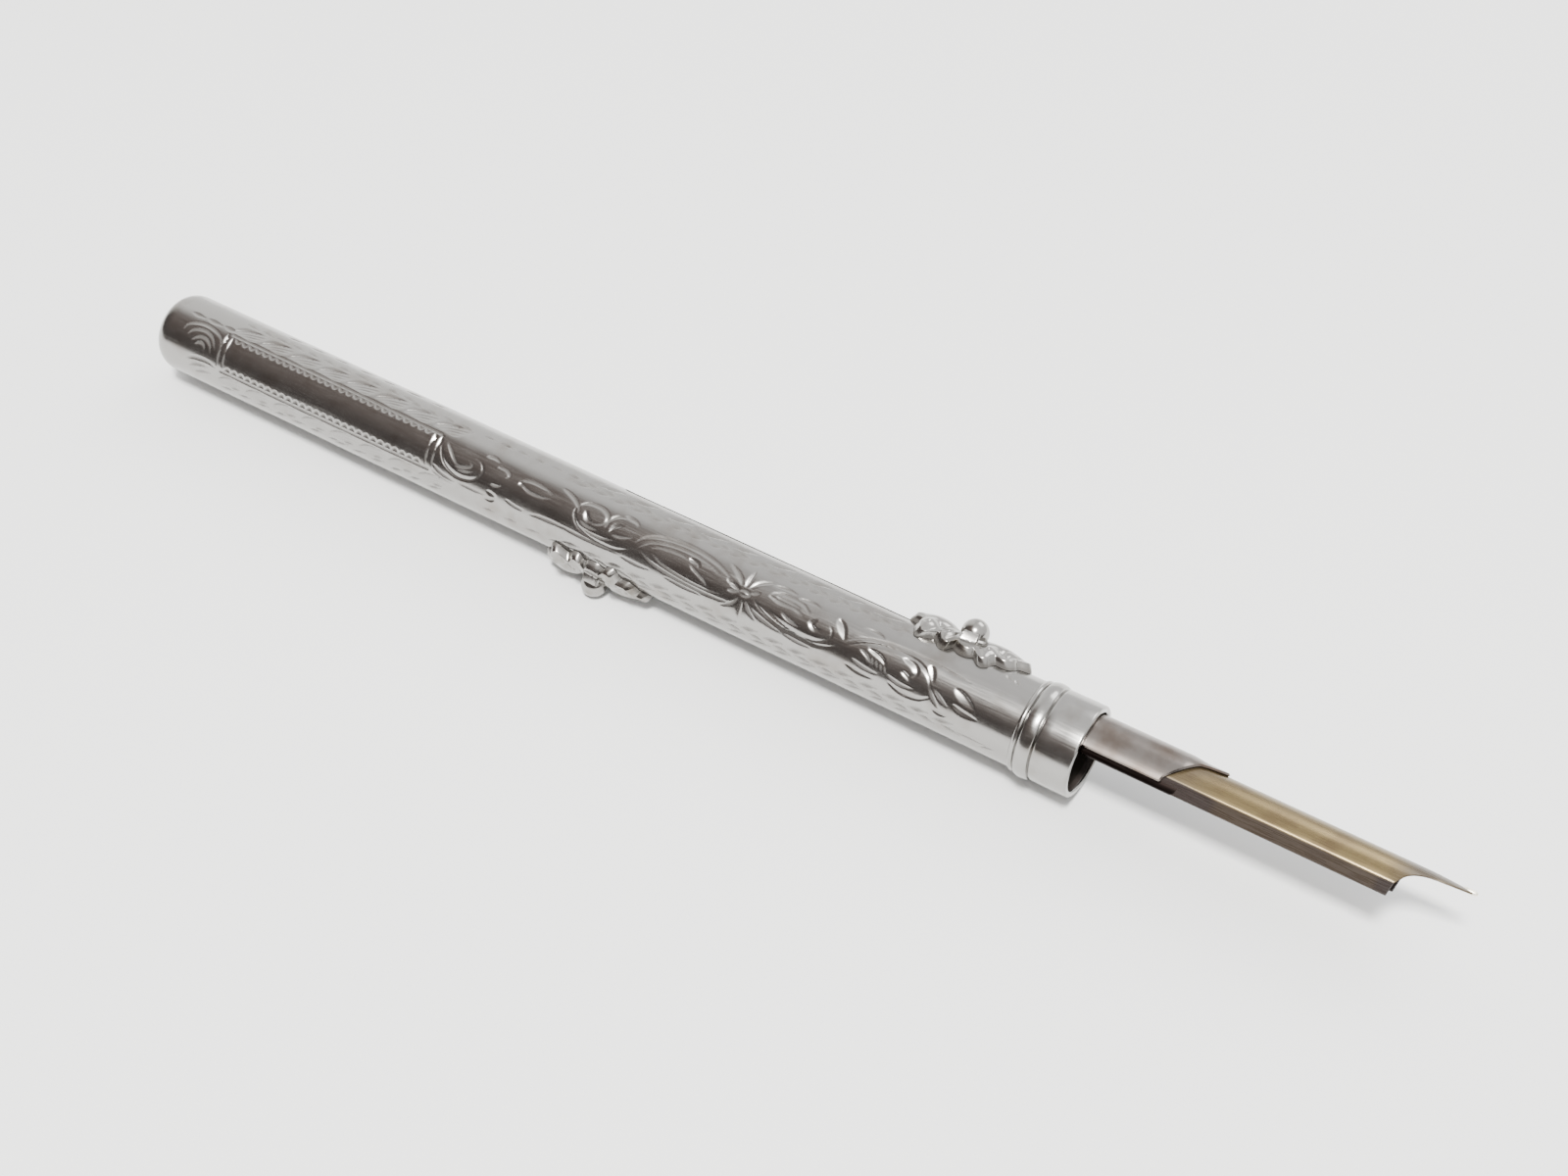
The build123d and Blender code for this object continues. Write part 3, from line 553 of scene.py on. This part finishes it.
def engraved_barrel():
    """The tube with both its slots, its pattern cut twice, and the wall's thickness."""
    half = SLOT_HALF_W
    slot_angle, pattern_angle = asin(half / BARREL_R), radians(31)
    panel_angles = np.concatenate(
        [
            np.linspace(slot_angle, pattern_angle, 14),
            np.linspace(pattern_angle, pi - pattern_angle, 88)[1:-1],
            np.linspace(pi - pattern_angle, pi - slot_angle, 14),
        ]
    )
    slot_y = -half * np.cos(np.linspace(0, pi, 13)[1:-1])

    def columns_at(radius):
        """Angle of each column of points from the pen's slot, on a wall of this radius."""
        edge = asin(half / radius)
        panel = np.interp(panel_angles, (slot_angle, pi - slot_angle), (edge, pi - edge))
        return np.concatenate([turn + np.r_[np.arcsin(slot_y / radius), panel] for turn in (0, pi)])

    angles = columns_at(BARREL_R)
    slot_column = np.tile(np.r_[slot_y, np.full(len(panel_angles), half)], 2)
    rows = barrel_rows()
    first, last = (int(np.argmin(abs(rows - x))) for x in SLOT_X)
    # rows bend round the slots' ends, where a column's bulge is the depth of the rounded end
    bulge = np.sqrt(np.maximum(half**2 - slot_column**2, 0))
    behind, ahead = SLOT_X[0] - rows[:, None], rows[:, None] - SLOT_X[1]
    bend = np.where(ahead >= 0, np.clip(1 - ahead / SLOT_ROUND, 0, 1) ** 2, 0)
    bend = np.where(behind >= 0, -np.clip(1 - behind / SLOT_ROUND, 0, 1) ** 2, bend)
    x = rows[:, None] + bend * bulge
    # the pattern is cut on straight rows, panel by panel
    strokes = rear_panel() + middle_scrolls() + long_panel()
    panel_v = (angles % pi - pi / 2) * BARREL_R
    order = np.argsort(panel_v, kind="stable")
    depth, dirt = np.zeros((2, len(rows), len(angles)))
    depth[:, order], dirt[:, order] = cut_strokes(strokes, rows, panel_v[order])
    radius = BARREL_R - depth + barrel_dents(x, angles)
    phi = angles + PEN_PHI
    outer = np.stack([x, radius * np.cos(phi), radius * np.sin(phi)], -1)
    # the bore has the same columns and few rows
    keep = {0, first, last, len(rows) - 1, *range(first % BORE_ROW, len(rows) - 1, BORE_ROW)}
    keep = sorted(keep)
    phi = columns_at(BORE_R) + PEN_PHI
    ring = np.stack([BORE_R * np.cos(phi), BORE_R * np.sin(phi)], -1)
    inner = np.dstack([x[keep], np.broadcast_to(ring, (len(keep), *ring.shape))])
    columns, base = len(angles), outer.size // 3
    in_slot = (slot_column < half - 1e-9) | np.roll(slot_column < half - 1e-9, -1)
    faces = []

    def out(i, j):
        return i * columns + j

    def bore(i, j):
        return base + i * columns + j

    def grid_faces(row_numbers, point, flip):
        for i, (a, b) in enumerate(zip(row_numbers, row_numbers[1:])):
            for j in range(columns):
                if in_slot[j] and first <= a and b <= last:
                    continue
                k = (j + 1) % columns
                quad = point(i, j), point(i + 1, j), point(i + 1, k), point(i, k)
                faces.append(quad[::-1] if flip else quad)

    grid_faces(range(len(rows)), out, True)
    grid_faces(keep, bore, False)
    front, inner_front = len(rows) - 1, len(keep) - 1
    inner_first, inner_last = keep.index(first), keep.index(last)
    for j in range(columns):  # the tube's two ends and the slots' rounded ends
        k = (j + 1) % columns
        faces.append((out(0, j), out(0, k), bore(0, k), bore(0, j)))
        faces.append((out(front, k), out(front, j), bore(inner_front, j), bore(inner_front, k)))
        if in_slot[j]:
            faces.append((out(first, k), out(first, j), bore(inner_first, j), bore(inner_first, k)))
            faces.append((out(last, j), out(last, k), bore(inner_last, k), bore(inner_last, j)))
    for j in range(columns):  # the slots' straight sides
        if in_slot[j] == in_slot[j - 1]:
            continue
        for i, (a, b) in enumerate(zip(keep, keep[1:])):
            if first <= a and b <= last:
                wall = [out(r, j) for r in range(a, b + 1)] + [bore(i + 1, j), bore(i, j)]
                faces.append(wall if in_slot[j] else wall[::-1])
    verts = np.concatenate([outer.reshape(-1, 3), inner.reshape(-1, 3)])
    # painted shade: every bore point gets the full mark, so the inside of the tube is dark and dull
    marks = np.r_[dirt.ravel(), np.ones(len(verts) - base)]
    add_piece("barrel_engraved", verts, faces, engraved, "barrel",
              ["barrel_tube"], 55, [("cut", marks)])


engraved_barrel()


# ---------------------------------------------------------------- cast slider ornaments
SLIDER_SEAT_R = 4.53
# rounded masses of the casting on one side: along, round, half length, half width, top above seat
MASSES = (
    (-5.7, 0.0, 0.95, 0.9, 1.05), (-3.6, 0.0, 2.6, 1.5, 1.45), (0.0, 0.0, 2.1, 1.8, 1.35),
    (3.1, 0.0, 3.3, 1.5, 1.25), (-4.1, 1.6, 1.3, 1.5, 1.3), (-1.9, 1.6, 1.15, 1.6, 1.15),
    (2.5, 1.6, 1.35, 1.5, 1.15), (4.4, 1.1, 1.25, 1.2, 0.9), (-4.3, 2.65, 0.75, 0.65, 0.95),
    (-1.7, 2.8, 0.75, 0.65, 0.85), (0.4, 2.3, 1.2, 0.8, 0.7), (2.6, 2.75, 0.8, 0.68, 0.9),
    (4.4, 1.8, 0.6, 0.5, 0.75), (5.8, 0.0, 1.0, 0.8, 0.75),
)
SCROLLS = MASSES[4:8]
JOIN = 7  # the higher, the sharper the valleys between the masses
WALL_TOP, WALL_FOOT = 0.85, 0.5  # height of the casting's steep side and how far it spreads
PLINTH_X, PLINTH_HALF_L, PLINTH_TOP = 0.15, 0.75, 1.6  # the square block under the knob


def ease(value, low, high):
    t = np.clip((value - low) / (high - low), 0, 1)
    return t * t * (3 - 2 * t)


def ornament_masses(x, side):
    """Height of the rounded masses, softly joined."""
    total = np.zeros(np.broadcast(x, side).shape)
    for along, round_, half_l, half_w, top in MASSES:
        dome = 1 - ((x - along) / half_l) ** 2 - ((side - round_) / half_w) ** 2
        total = total + (top * np.sqrt(np.maximum(dome, 0))) ** JOIN
    return total ** (1 / JOIN)


def ornament_outline(theta):
    """Distance from the knob to the ornament's edge in each direction."""
    out = np.linspace(0, 8, 1601)[:, None]
    inside = ornament_masses(out * np.cos(theta), abs(out * np.sin(theta))) > 0.05
    reach = out[len(out) - 1 - inside[::-1].argmax(0), 0]
    soft = np.array([1, 2, 3, 2, 1]) / 9
    return np.convolve(np.r_[reach[-2:], reach, reach[:2]], soft, "valid")


def ornament_height(x, y, to_edge):
    """Relief of the casting: steep sides, scrolls cut in the rounded masses, a square plinth."""
    side = abs(y)
    height = np.maximum(ornament_masses(x, side), WALL_TOP)
    for along, round_, half_l, _, _ in SCROLLS:
        away = np.hypot(x - along, side - round_)
        curl = np.arctan2(side - round_, x - along) - away * 5.0
        height = height - 0.1 * ease(np.cos(curl), 0.3, 1) * ease(away, half_l, 0.3)
    face = 3.54 - 1.55 * side - 0.36 * x
    plinth = np.where(abs(x - PLINTH_X) < PLINTH_HALF_L, np.minimum(face, PLINTH_TOP), 0)
    height = np.maximum(height, plinth)
    return height * np.clip(to_edge / WALL_FOOT, 0, 1) ** 0.85


def slider_ornament(name, node, body, stud_x, phi):
    """The casting, bent round the barrel. Its underside follows the barrel too."""
    directions, rings = 360, 56
    theta = np.linspace(0, 2 * pi, directions, endpoint=False)
    edge = ornament_outline(theta)
    share = np.linspace(0, 1, rings + 1)[1:] ** 0.85
    x = np.r_[0, (share[:, None] * edge * np.cos(theta)).ravel()]
    y = np.r_[0, (share[:, None] * edge * np.sin(theta)).ravel()]
    to_edge = np.r_[2, ((1 - share[:, None]) * edge).ravel()]
    height = ornament_height(x, y, to_edge)
    # darker along the casting's foot, where it is lower than 0.5 mm
    recess = 0.6 * np.clip((0.5 - height) / 0.3, 0, 1)
    angle = phi + y / SLIDER_SEAT_R
    shell = []
    for radius in (SLIDER_SEAT_R + height, np.full_like(height, SLIDER_SEAT_R)):
        shell.append(np.column_stack([stud_x + x, radius * np.cos(angle), radius * np.sin(angle)]))
    last = 1 + (rings - 1) * directions  # both shells share the points of the rim
    verts = np.vstack([shell[0], shell[1][:last]])
    faces = [(0, 1 + j, 1 + (j + 1) % directions) for j in range(directions)]
    for i in range(rings - 1):
        a, b = 1 + i * directions, 1 + (i + 1) * directions
        for j in range(directions):
            k = (j + 1) % directions
            faces.append((a + j, b + j, b + k, a + k))
    faces += [tuple(v if v >= last else v + len(x) for v in face[::-1]) for face in faces]
    marks = np.r_[recess, np.zeros(last)]
    add_piece(name, verts, faces, cast, body, [node], 50, [("cut", marks)])


# ---------------------------------------------------------------- turned pieces
def lathe(name, profile, place, axis, across, material, body, replaced, turns=160, sharp=35,
          painted_shade=()):
    """A solid turned about an axis from (distance along it, radius) points of a closed section."""
    axis, across = np.array(axis), np.array(across)
    third = np.cross(axis, across)
    angle = np.linspace(0, 2 * pi, turns, endpoint=False)[:, None, None]
    along, radius = np.array(profile).T[:, :, None]
    around = np.cos(angle) * across + np.sin(angle) * third
    verts = (np.array(place) + along * axis + radius * around).reshape(-1, 3)
    size = len(profile)
    faces = []
    for k in range(turns):
        a, b = k * size, (k + 1) % turns * size
        for i in range(size):
            j = (i + 1) % size
            faces.append((a + i, b + i, b + j, a + j))
    marks = [("painted_shade", np.tile(painted_shade, turns))] if len(painted_shade) else ()
    add_piece(name, verts, faces, material, body, [replaced], sharp, marks)


def arc(centre, radius, start, end, count=12):
    """Points of an arc in the section, its angles in degrees from the axis."""
    return [
        (centre[0] + radius * cos(radians(a)), centre[1] + radius * sin(radians(a)))
        for a in np.linspace(start, end, count)
    ]


KNOB_R, KNOB_MIDDLE, STUD_R = 1.42, 5.9, 0.7
PEN_FOOT, PENCIL_FOOT = 3.25, 3.57  # distance of each stud's foot from the axis
sliders = (("pen", SLOT_X[1], PEN_PHI, PEN_FOOT), ("pencil", SLOT_X[0], PENCIL_PHI, PENCIL_FOOT))
for name, stud_x, phi, foot in sliders:
    slider_ornament(f"{name}_ornament", f"{name}_slider", name, stud_x, phi)
    profile = [(foot, 0.004), (foot, STUD_R), (KNOB_MIDDLE - 1.2, STUD_R)]
    profile += arc((KNOB_MIDDLE, 0), KNOB_R, 148, 0.2, 30)
    lathe(f"{name}_knob", profile, (stud_x, 0, 0), (0, cos(phi), sin(phi)), (1, 0, 0), cast,
          name, f"{name}_slider_stud", 64)

COLLAR_X = ends_x("mouth_collar")[0]
COLLAR_BORE_R, BORE_SHADE_X = 4.1, -0.25  # the bore is painted dark behind this X, as painted shade


def from_collar(*points):
    return [(COLLAR_X + x, r) for x, r in points]


bead = [(1.44 + 0.6 * t, 4.95 - 0.09 * t * t) for t in np.linspace(-1, 1, 13)]
collar_profile = [
    (COLLAR_X, 4.5),
    *arc((COLLAR_X + 0.3, 4.42), 0.3, 165, 15),
    *from_collar((0.68, 4.53), (0.7, 4.56), (0.71, 4.72), (0.76, 4.81)),
    *from_collar(*bead),
    *from_collar((2.12, 4.81), (2.17, 4.72), (2.19, 4.58), (2.3, 4.6), (2.42, 4.72), (2.56, 4.75)),
    (-3.0, 4.74),
    (-1.6, 4.76),
    *arc((-0.22, 4.53), 0.22, 90, 0, 8),
    *arc((-0.2, 4.3), 0.2, 0, -90, 6),
    (-0.3, COLLAR_BORE_R),
    (-0.8, COLLAR_BORE_R),
    (-0.8, 4.5),
]
# painted shade: the collar's bore behind that X is made dark and dull
inside = [float(r < COLLAR_BORE_R + 0.005 and x < BORE_SHADE_X) for x, r in collar_profile]
lathe("collar_turned", collar_profile, (0, 0, 0), (1, 0, 0), (0, 1, 0), turned,
      "barrel", "mouth_collar", painted_shade=inside)


# ---------------------------------------------------------------- nib, sheath and bed
def gutter_section(radius, bends, half, count=600):
    """Half a gutter's section by its distance from the crown: side, rise and the two parts of its
    normal. bends is (crease angle, wall angle) pairs in degrees, for each place where the arc
    gives way to a straight wall."""
    s = np.linspace(0, half, count)
    angle = s / radius
    for turn, wall in bends:
        crease = radius * radians(turn)
        angle = np.where(s < crease, angle, radians(turn))
        angle = angle + (radians(wall) - angle) * ease(s, crease - 0.15, crease + 0.15)
    step = s[1] - s[0]
    middle = (angle[1:] + angle[:-1]) / 2
    side = np.r_[0, np.cumsum(np.cos(middle)) * step]
    rise = radius - np.r_[0, np.cumsum(np.sin(middle)) * step]
    tracks = side, rise, np.sin(angle), np.cos(angle)
    return lambda at: [np.interp(at, s, values) for values in tracks]


def bent_sheet(name, node, body, material, section, columns, x_start, x_end, thick, rows=90,
               shape=None, dirt_and_shade=None, sharp=40):
    """A gutter of sheet metal over the pen's axis, with its rims rounded.

    columns are distances from the crown on one side. x_end gives each column's front, and shape
    how far a point is pressed in towards the axis.
    """
    s = np.r_[-np.array(columns[:0:-1]), columns]
    side, rise, normal_side, normal_rise = section(abs(s))
    side, normal_side = side * np.sign(s), normal_side * np.sign(s)
    share = np.linspace(0, 1, rows)
    share = 1 - (1 - share) ** 1.6
    x = x_start + share[:, None] * (np.array([x_end(abs(v)) for v in s]) - x_start)
    press = shape(x, s[None, :]) if shape else np.zeros_like(x)

    crown_y, crown_z = cos(PEN_PHI), sin(PEN_PHI)

    def placed(depth):
        across = side - normal_side * (depth + press)
        up = rise - normal_rise * (depth + press)
        return np.stack([x, up * crown_y - across * crown_z, up * crown_z + across * crown_y], -1)

    outer, inner = placed(0.0), placed(thick)
    rows_n, cols_n = x.shape
    index = np.arange(rows_n * cols_n).reshape(rows_n, cols_n)
    around = np.r_[index[0], index[1:, -1], index[-1, -2::-1], index[-2:0:-1, 0]]
    outer, inner = outer.reshape(-1, 3), inner.reshape(-1, 3)
    middle = (outer + inner)[around] / 2
    along = np.roll(middle, -1, 0) - np.roll(middle, 1, 0)
    out = np.cross(along, (outer - inner)[around])
    out /= np.linalg.norm(out, axis=1)[:, None]
    rim = middle + out * thick * 0.4
    verts = np.vstack([outer, inner, rim])
    size = len(outer)
    faces = []
    for i in range(rows_n - 1):
        for j in range(cols_n - 1):
            a, b, c, d = index[i, j], index[i, j + 1], index[i + 1, j + 1], index[i + 1, j]
            faces += [(a, b, c, d), (size + d, size + c, size + b, size + a)]
    for k, (a, b) in enumerate(zip(around, np.roll(around, -1))):
        m, n = 2 * size + k, 2 * size + (k + 1) % len(around)
        faces += [(b, a, m, n), (n, m, size + a, size + b)]
    attributes = []
    if dirt_and_shade:
        marks = np.broadcast_to(dirt_and_shade(x, abs(s)[None, :]), x.shape).ravel()
        attributes = [("dirt_and_shade", np.r_[marks, marks, marks[around]])]
    add_piece(name, verts, faces, material, body, [node], sharp, attributes)


def set_back(front, *points):
    """A front edge, from (distance from the crown, how far behind the front) points."""
    at, behind = zip(*points)
    return lambda s: front - float(np.interp(s, at, behind))


SHEATH_X, BED_X, NIB_X = ends_x("nib_sheath"), ends_x("nib_bed"), ends_x("nib")
SHOULDER_X = NIB_X[1] - 6.7
SHEATH_R, BED_R, NIB_R = 3.95, 3.25, 3.45
SHEATH_HALF, BED_HALF = SHEATH_R * radians(78), BED_R * radians(90)
CREASE_ANGLE = 67
NIB_CREASE = NIB_R * radians(CREASE_ANGLE)
NIB_HALF = NIB_CREASE + NIB_R * cos(radians(CREASE_ANGLE))
SLIT_X, SLIT_DEPTH = NIB_X[0] + 26.7, 0.1


def sheath_press(x, _):
    """The tongue is pressed down on the nib."""
    return 0.16 * ease(x, 9.0, 11.0)


def nib_dip(x, s):
    """The point dips, and the slit is a groove along the crown."""
    slit = np.where((abs(s) < 0.01) & (x > SLIT_X), SLIT_DEPTH, 0)
    return 0.25 * np.clip((x - SHOULDER_X - 2) / 4.7, 0, 1) ** 2 + slit


def nib_stain_and_painted_shade(x, s):
    """The walls are painted near-black as painted shade; the heel and the point are brown."""
    # painted shade: the side walls below the crease are darkened and dulled
    wall = 0.92 * ease(s, NIB_CREASE - 0.05, NIB_CREASE + 0.2)
    heel = 0.5 * ease(x, 14, 9)
    point = 0.7 * ease(x, SHOULDER_X - 1.5, SHOULDER_X + 2)
    return np.clip(wall + heel + point, 0, 1)


sheath_front = set_back(
    SHEATH_X[1], (0, 0), (0.25, 0.15), (0.6, 0.75), (0.9, 1.7), (1.4, 2.5), (2.4, 3.1), (3.4, 3.8),
    (4.3, 4.5), (4.9, 4.95), (5.38, 5.05),
)
bent_sheet("sheath", "nib_sheath", "pen", sheath_metal,
           gutter_section(SHEATH_R, (), SHEATH_HALF), list(np.linspace(0, SHEATH_HALF, 60)),
           SHEATH_X[0], sheath_front, 0.34, shape=sheath_press)

bed_front = set_back(BED_X[1], (0, 0), (4.2, 0), (5.0, 0.3), (5.2, 0.8))
bent_sheet("bed", "nib_bed", "pen", bed_metal_painted_shade, gutter_section(BED_R, (), BED_HALF),
           list(np.linspace(0, BED_HALF, 40)), BED_X[0], bed_front, 0.28)

nib_front = set_back(
    NIB_X[1], (0, 0), (0.3, 0.06), (0.6, 0.3), (0.9, 0.8), (1.2, 1.5), (1.45, 2.3), (1.62, 3.1),
    (1.8, 3.8), (2.05, 4.4), (2.35, 4.95), (2.8, 5.5), (3.4, 5.95), (4.1, 6.3), (NIB_HALF, 6.5),
)
nib_columns = [
    0, 0.05, 0.12, *np.linspace(0.22, 1.0, 10), *np.linspace(1.06, 2.2, 20),
    *np.linspace(2.3, 3.6, 12), *np.linspace(3.7, 4.4, 12), *np.linspace(4.5, NIB_HALF, 8),
]
bent_sheet("nib_point", "nib", "pen", gilt,
           gutter_section(NIB_R, ((CREASE_ANGLE, 90),), NIB_HALF), nib_columns, NIB_X[0], nib_front,
           0.18, rows=140, shape=nib_dip, dirt_and_shade=nib_stain_and_painted_shade, sharp=45)

PELLET_X, PELLET_RISE = ends_x("nib_tip_pellet")[1] - 0.75, 3.18
pen_up = np.array((0, cos(PEN_PHI), sin(PEN_PHI)))
pellet_profile = [
    (-0.9, 0.004), (-0.6, 0.2), (-0.1, 0.26), (0.4, 0.26), (0.6, 0.2), (0.72, 0.1), (0.75, 0.004)
]
lathe("pellet", pellet_profile, (PELLET_X, 0, 0) + PELLET_RISE * pen_up, (1, 0, 0), pen_up,
      pellet_metal, "pen", "nib_tip_pellet", 24, 60)


# ---------------------------------------------------------------- paper, light and camera
PAPER_HALF = 2.5


def paper_material():
    material = bpy.data.materials.new("paper")
    material.use_nodes = True
    tree = material.node_tree
    shader = tree.nodes["Principled BSDF"]
    coords = new_node(tree, "ShaderNodeTexCoord").outputs["Object"]
    cloud = noise(tree, coords, 0.02, detail=3.0)
    fibre = noise(tree, coords, 2.0, detail=6.0)
    colour = mix(tree, cloud, (0.83, 0.84, 0.84, 1), (0.81, 0.82, 0.82, 1))
    tree.links.new(colour, shader.inputs["Base Color"])
    relief = {"Height": fibre, "Strength": 0.2, "Distance": 0.02 * MM}
    bump = new_node(tree, "ShaderNodeBump", relief)
    tree.links.new(bump.outputs["Normal"], shader.inputs["Normal"])
    shader.inputs["Roughness"].default_value = 0.9
    shader.inputs["Specular IOR Level"].default_value = 0.2
    return material


paper_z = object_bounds()[0].z
paper_mesh = bpy.data.meshes.new("paper")
corners = [(x * PAPER_HALF, y * PAPER_HALF, paper_z) for x, y in ((-1, -1), (1, -1), (1, 1), (-1, 1))]
paper_mesh.from_pydata(corners, [], [(0, 1, 2, 3)])
paper_mesh.materials.append(paper_material())
paper = bpy.data.objects.new("paper", paper_mesh)
bpy.context.scene.collection.objects.link(paper)

CAMERA_AZIMUTH, CAMERA_ELEVATION = radians(32.41), radians(46.86)
CAMERA_DISTANCE = 213.4 * MM
camera_aim = Vector((-35.8, 2.58, 0)) * MM
camera_back = Vector(
    (
        sin(CAMERA_AZIMUTH) * cos(CAMERA_ELEVATION),
        -cos(CAMERA_AZIMUTH) * cos(CAMERA_ELEVATION),
        sin(CAMERA_ELEVATION),
    )
)
camera = bpy.data.objects.new("camera", bpy.data.cameras.new("camera"))
bpy.context.scene.collection.objects.link(camera)
camera.data.lens, camera.data.sensor_width = 48.2, 36.0
camera.data.clip_start = 1 * MM
camera.location = camera_aim + camera_back * CAMERA_DISTANCE
camera.rotation_euler = (-camera_back).to_track_quat("-Z", "Y").to_euler()
bpy.context.scene.camera = camera

# a bright soft ceiling, brighter at the tail's end, that falls to a dim room on the near side,
# with the lamp's glow on it
LAMP_PLACE = Vector((0.08, -0.335, 0.94))
CEILING, TAIL_CEILING = (1.0, 1.0, 1.0, 1), (1.3, 1.3, 1.28, 1)
LOW_ROOM, HIGH_ROOM = (0.1, 0.087, 0.083, 1), (0.2, 0.163, 0.15, 1)
LAMP_GLOW = (4.2, 4.15, 4.0, 1)
ROOM_STRENGTH = 1.62
world = bpy.data.worlds.new("room")
world.use_nodes = True
bpy.context.scene.world = world
tree = world.node_tree
direction = new_node(tree, "ShaderNodeTexCoord").outputs["Generated"]
parts = new_node(tree, "ShaderNodeSeparateXYZ", {0: direction}).outputs
near_side = spread(tree, parts["Y"], 0.45, -0.08, smooth=True)
rise = math_node(tree, "MULTIPLY_ADD", parts["X"], 0.5, parts["Z"])
below_ceiling = spread(tree, rise, 0.83, 0.68, smooth=True)
dim = math_node(tree, "MULTIPLY", near_side, below_ceiling)
room = mix(tree, spread(tree, parts["Z"], 0.3, 0.9, smooth=True), LOW_ROOM, HIGH_ROOM)
to_lamp = {0: direction, 1: LAMP_PLACE.normalized()}
facing = new_node(tree, "ShaderNodeVectorMath", to_lamp, operation="DOT_PRODUCT").outputs["Value"]
halo = spread(tree, facing, 0.945, 0.99, smooth=True)
tail_side = spread(tree, parts["X"], -0.35, -0.6, smooth=True)
ceiling = mix(tree, tail_side, CEILING, TAIL_CEILING)
glow = mix(tree, halo, mix(tree, dim, ceiling, room), LAMP_GLOW)
background = tree.nodes["Background"]
tree.links.new(glow, background.inputs["Color"])
background.inputs["Strength"].default_value = ROOM_STRENGTH


def soft_light(name, place, size, power, colour=(1, 1, 1)):
    """An area light turned to the origin."""
    light = bpy.data.objects.new(name, bpy.data.lights.new(name, "AREA"))
    light.data.shape, light.data.size, light.data.size_y = "RECTANGLE", *size
    light.data.energy, light.data.color = power, colour
    light.location = Vector(place)
    light.rotation_euler = (-light.location).to_track_quat("-Z", "Y").to_euler()
    bpy.context.scene.collection.objects.link(light)


soft_light("lamp", LAMP_PLACE, (0.17, 0.17), 22, (1.0, 0.985, 0.96))
soft_light("window", (0.15, 0.8, 0.58), (0.5, 0.4), 4)
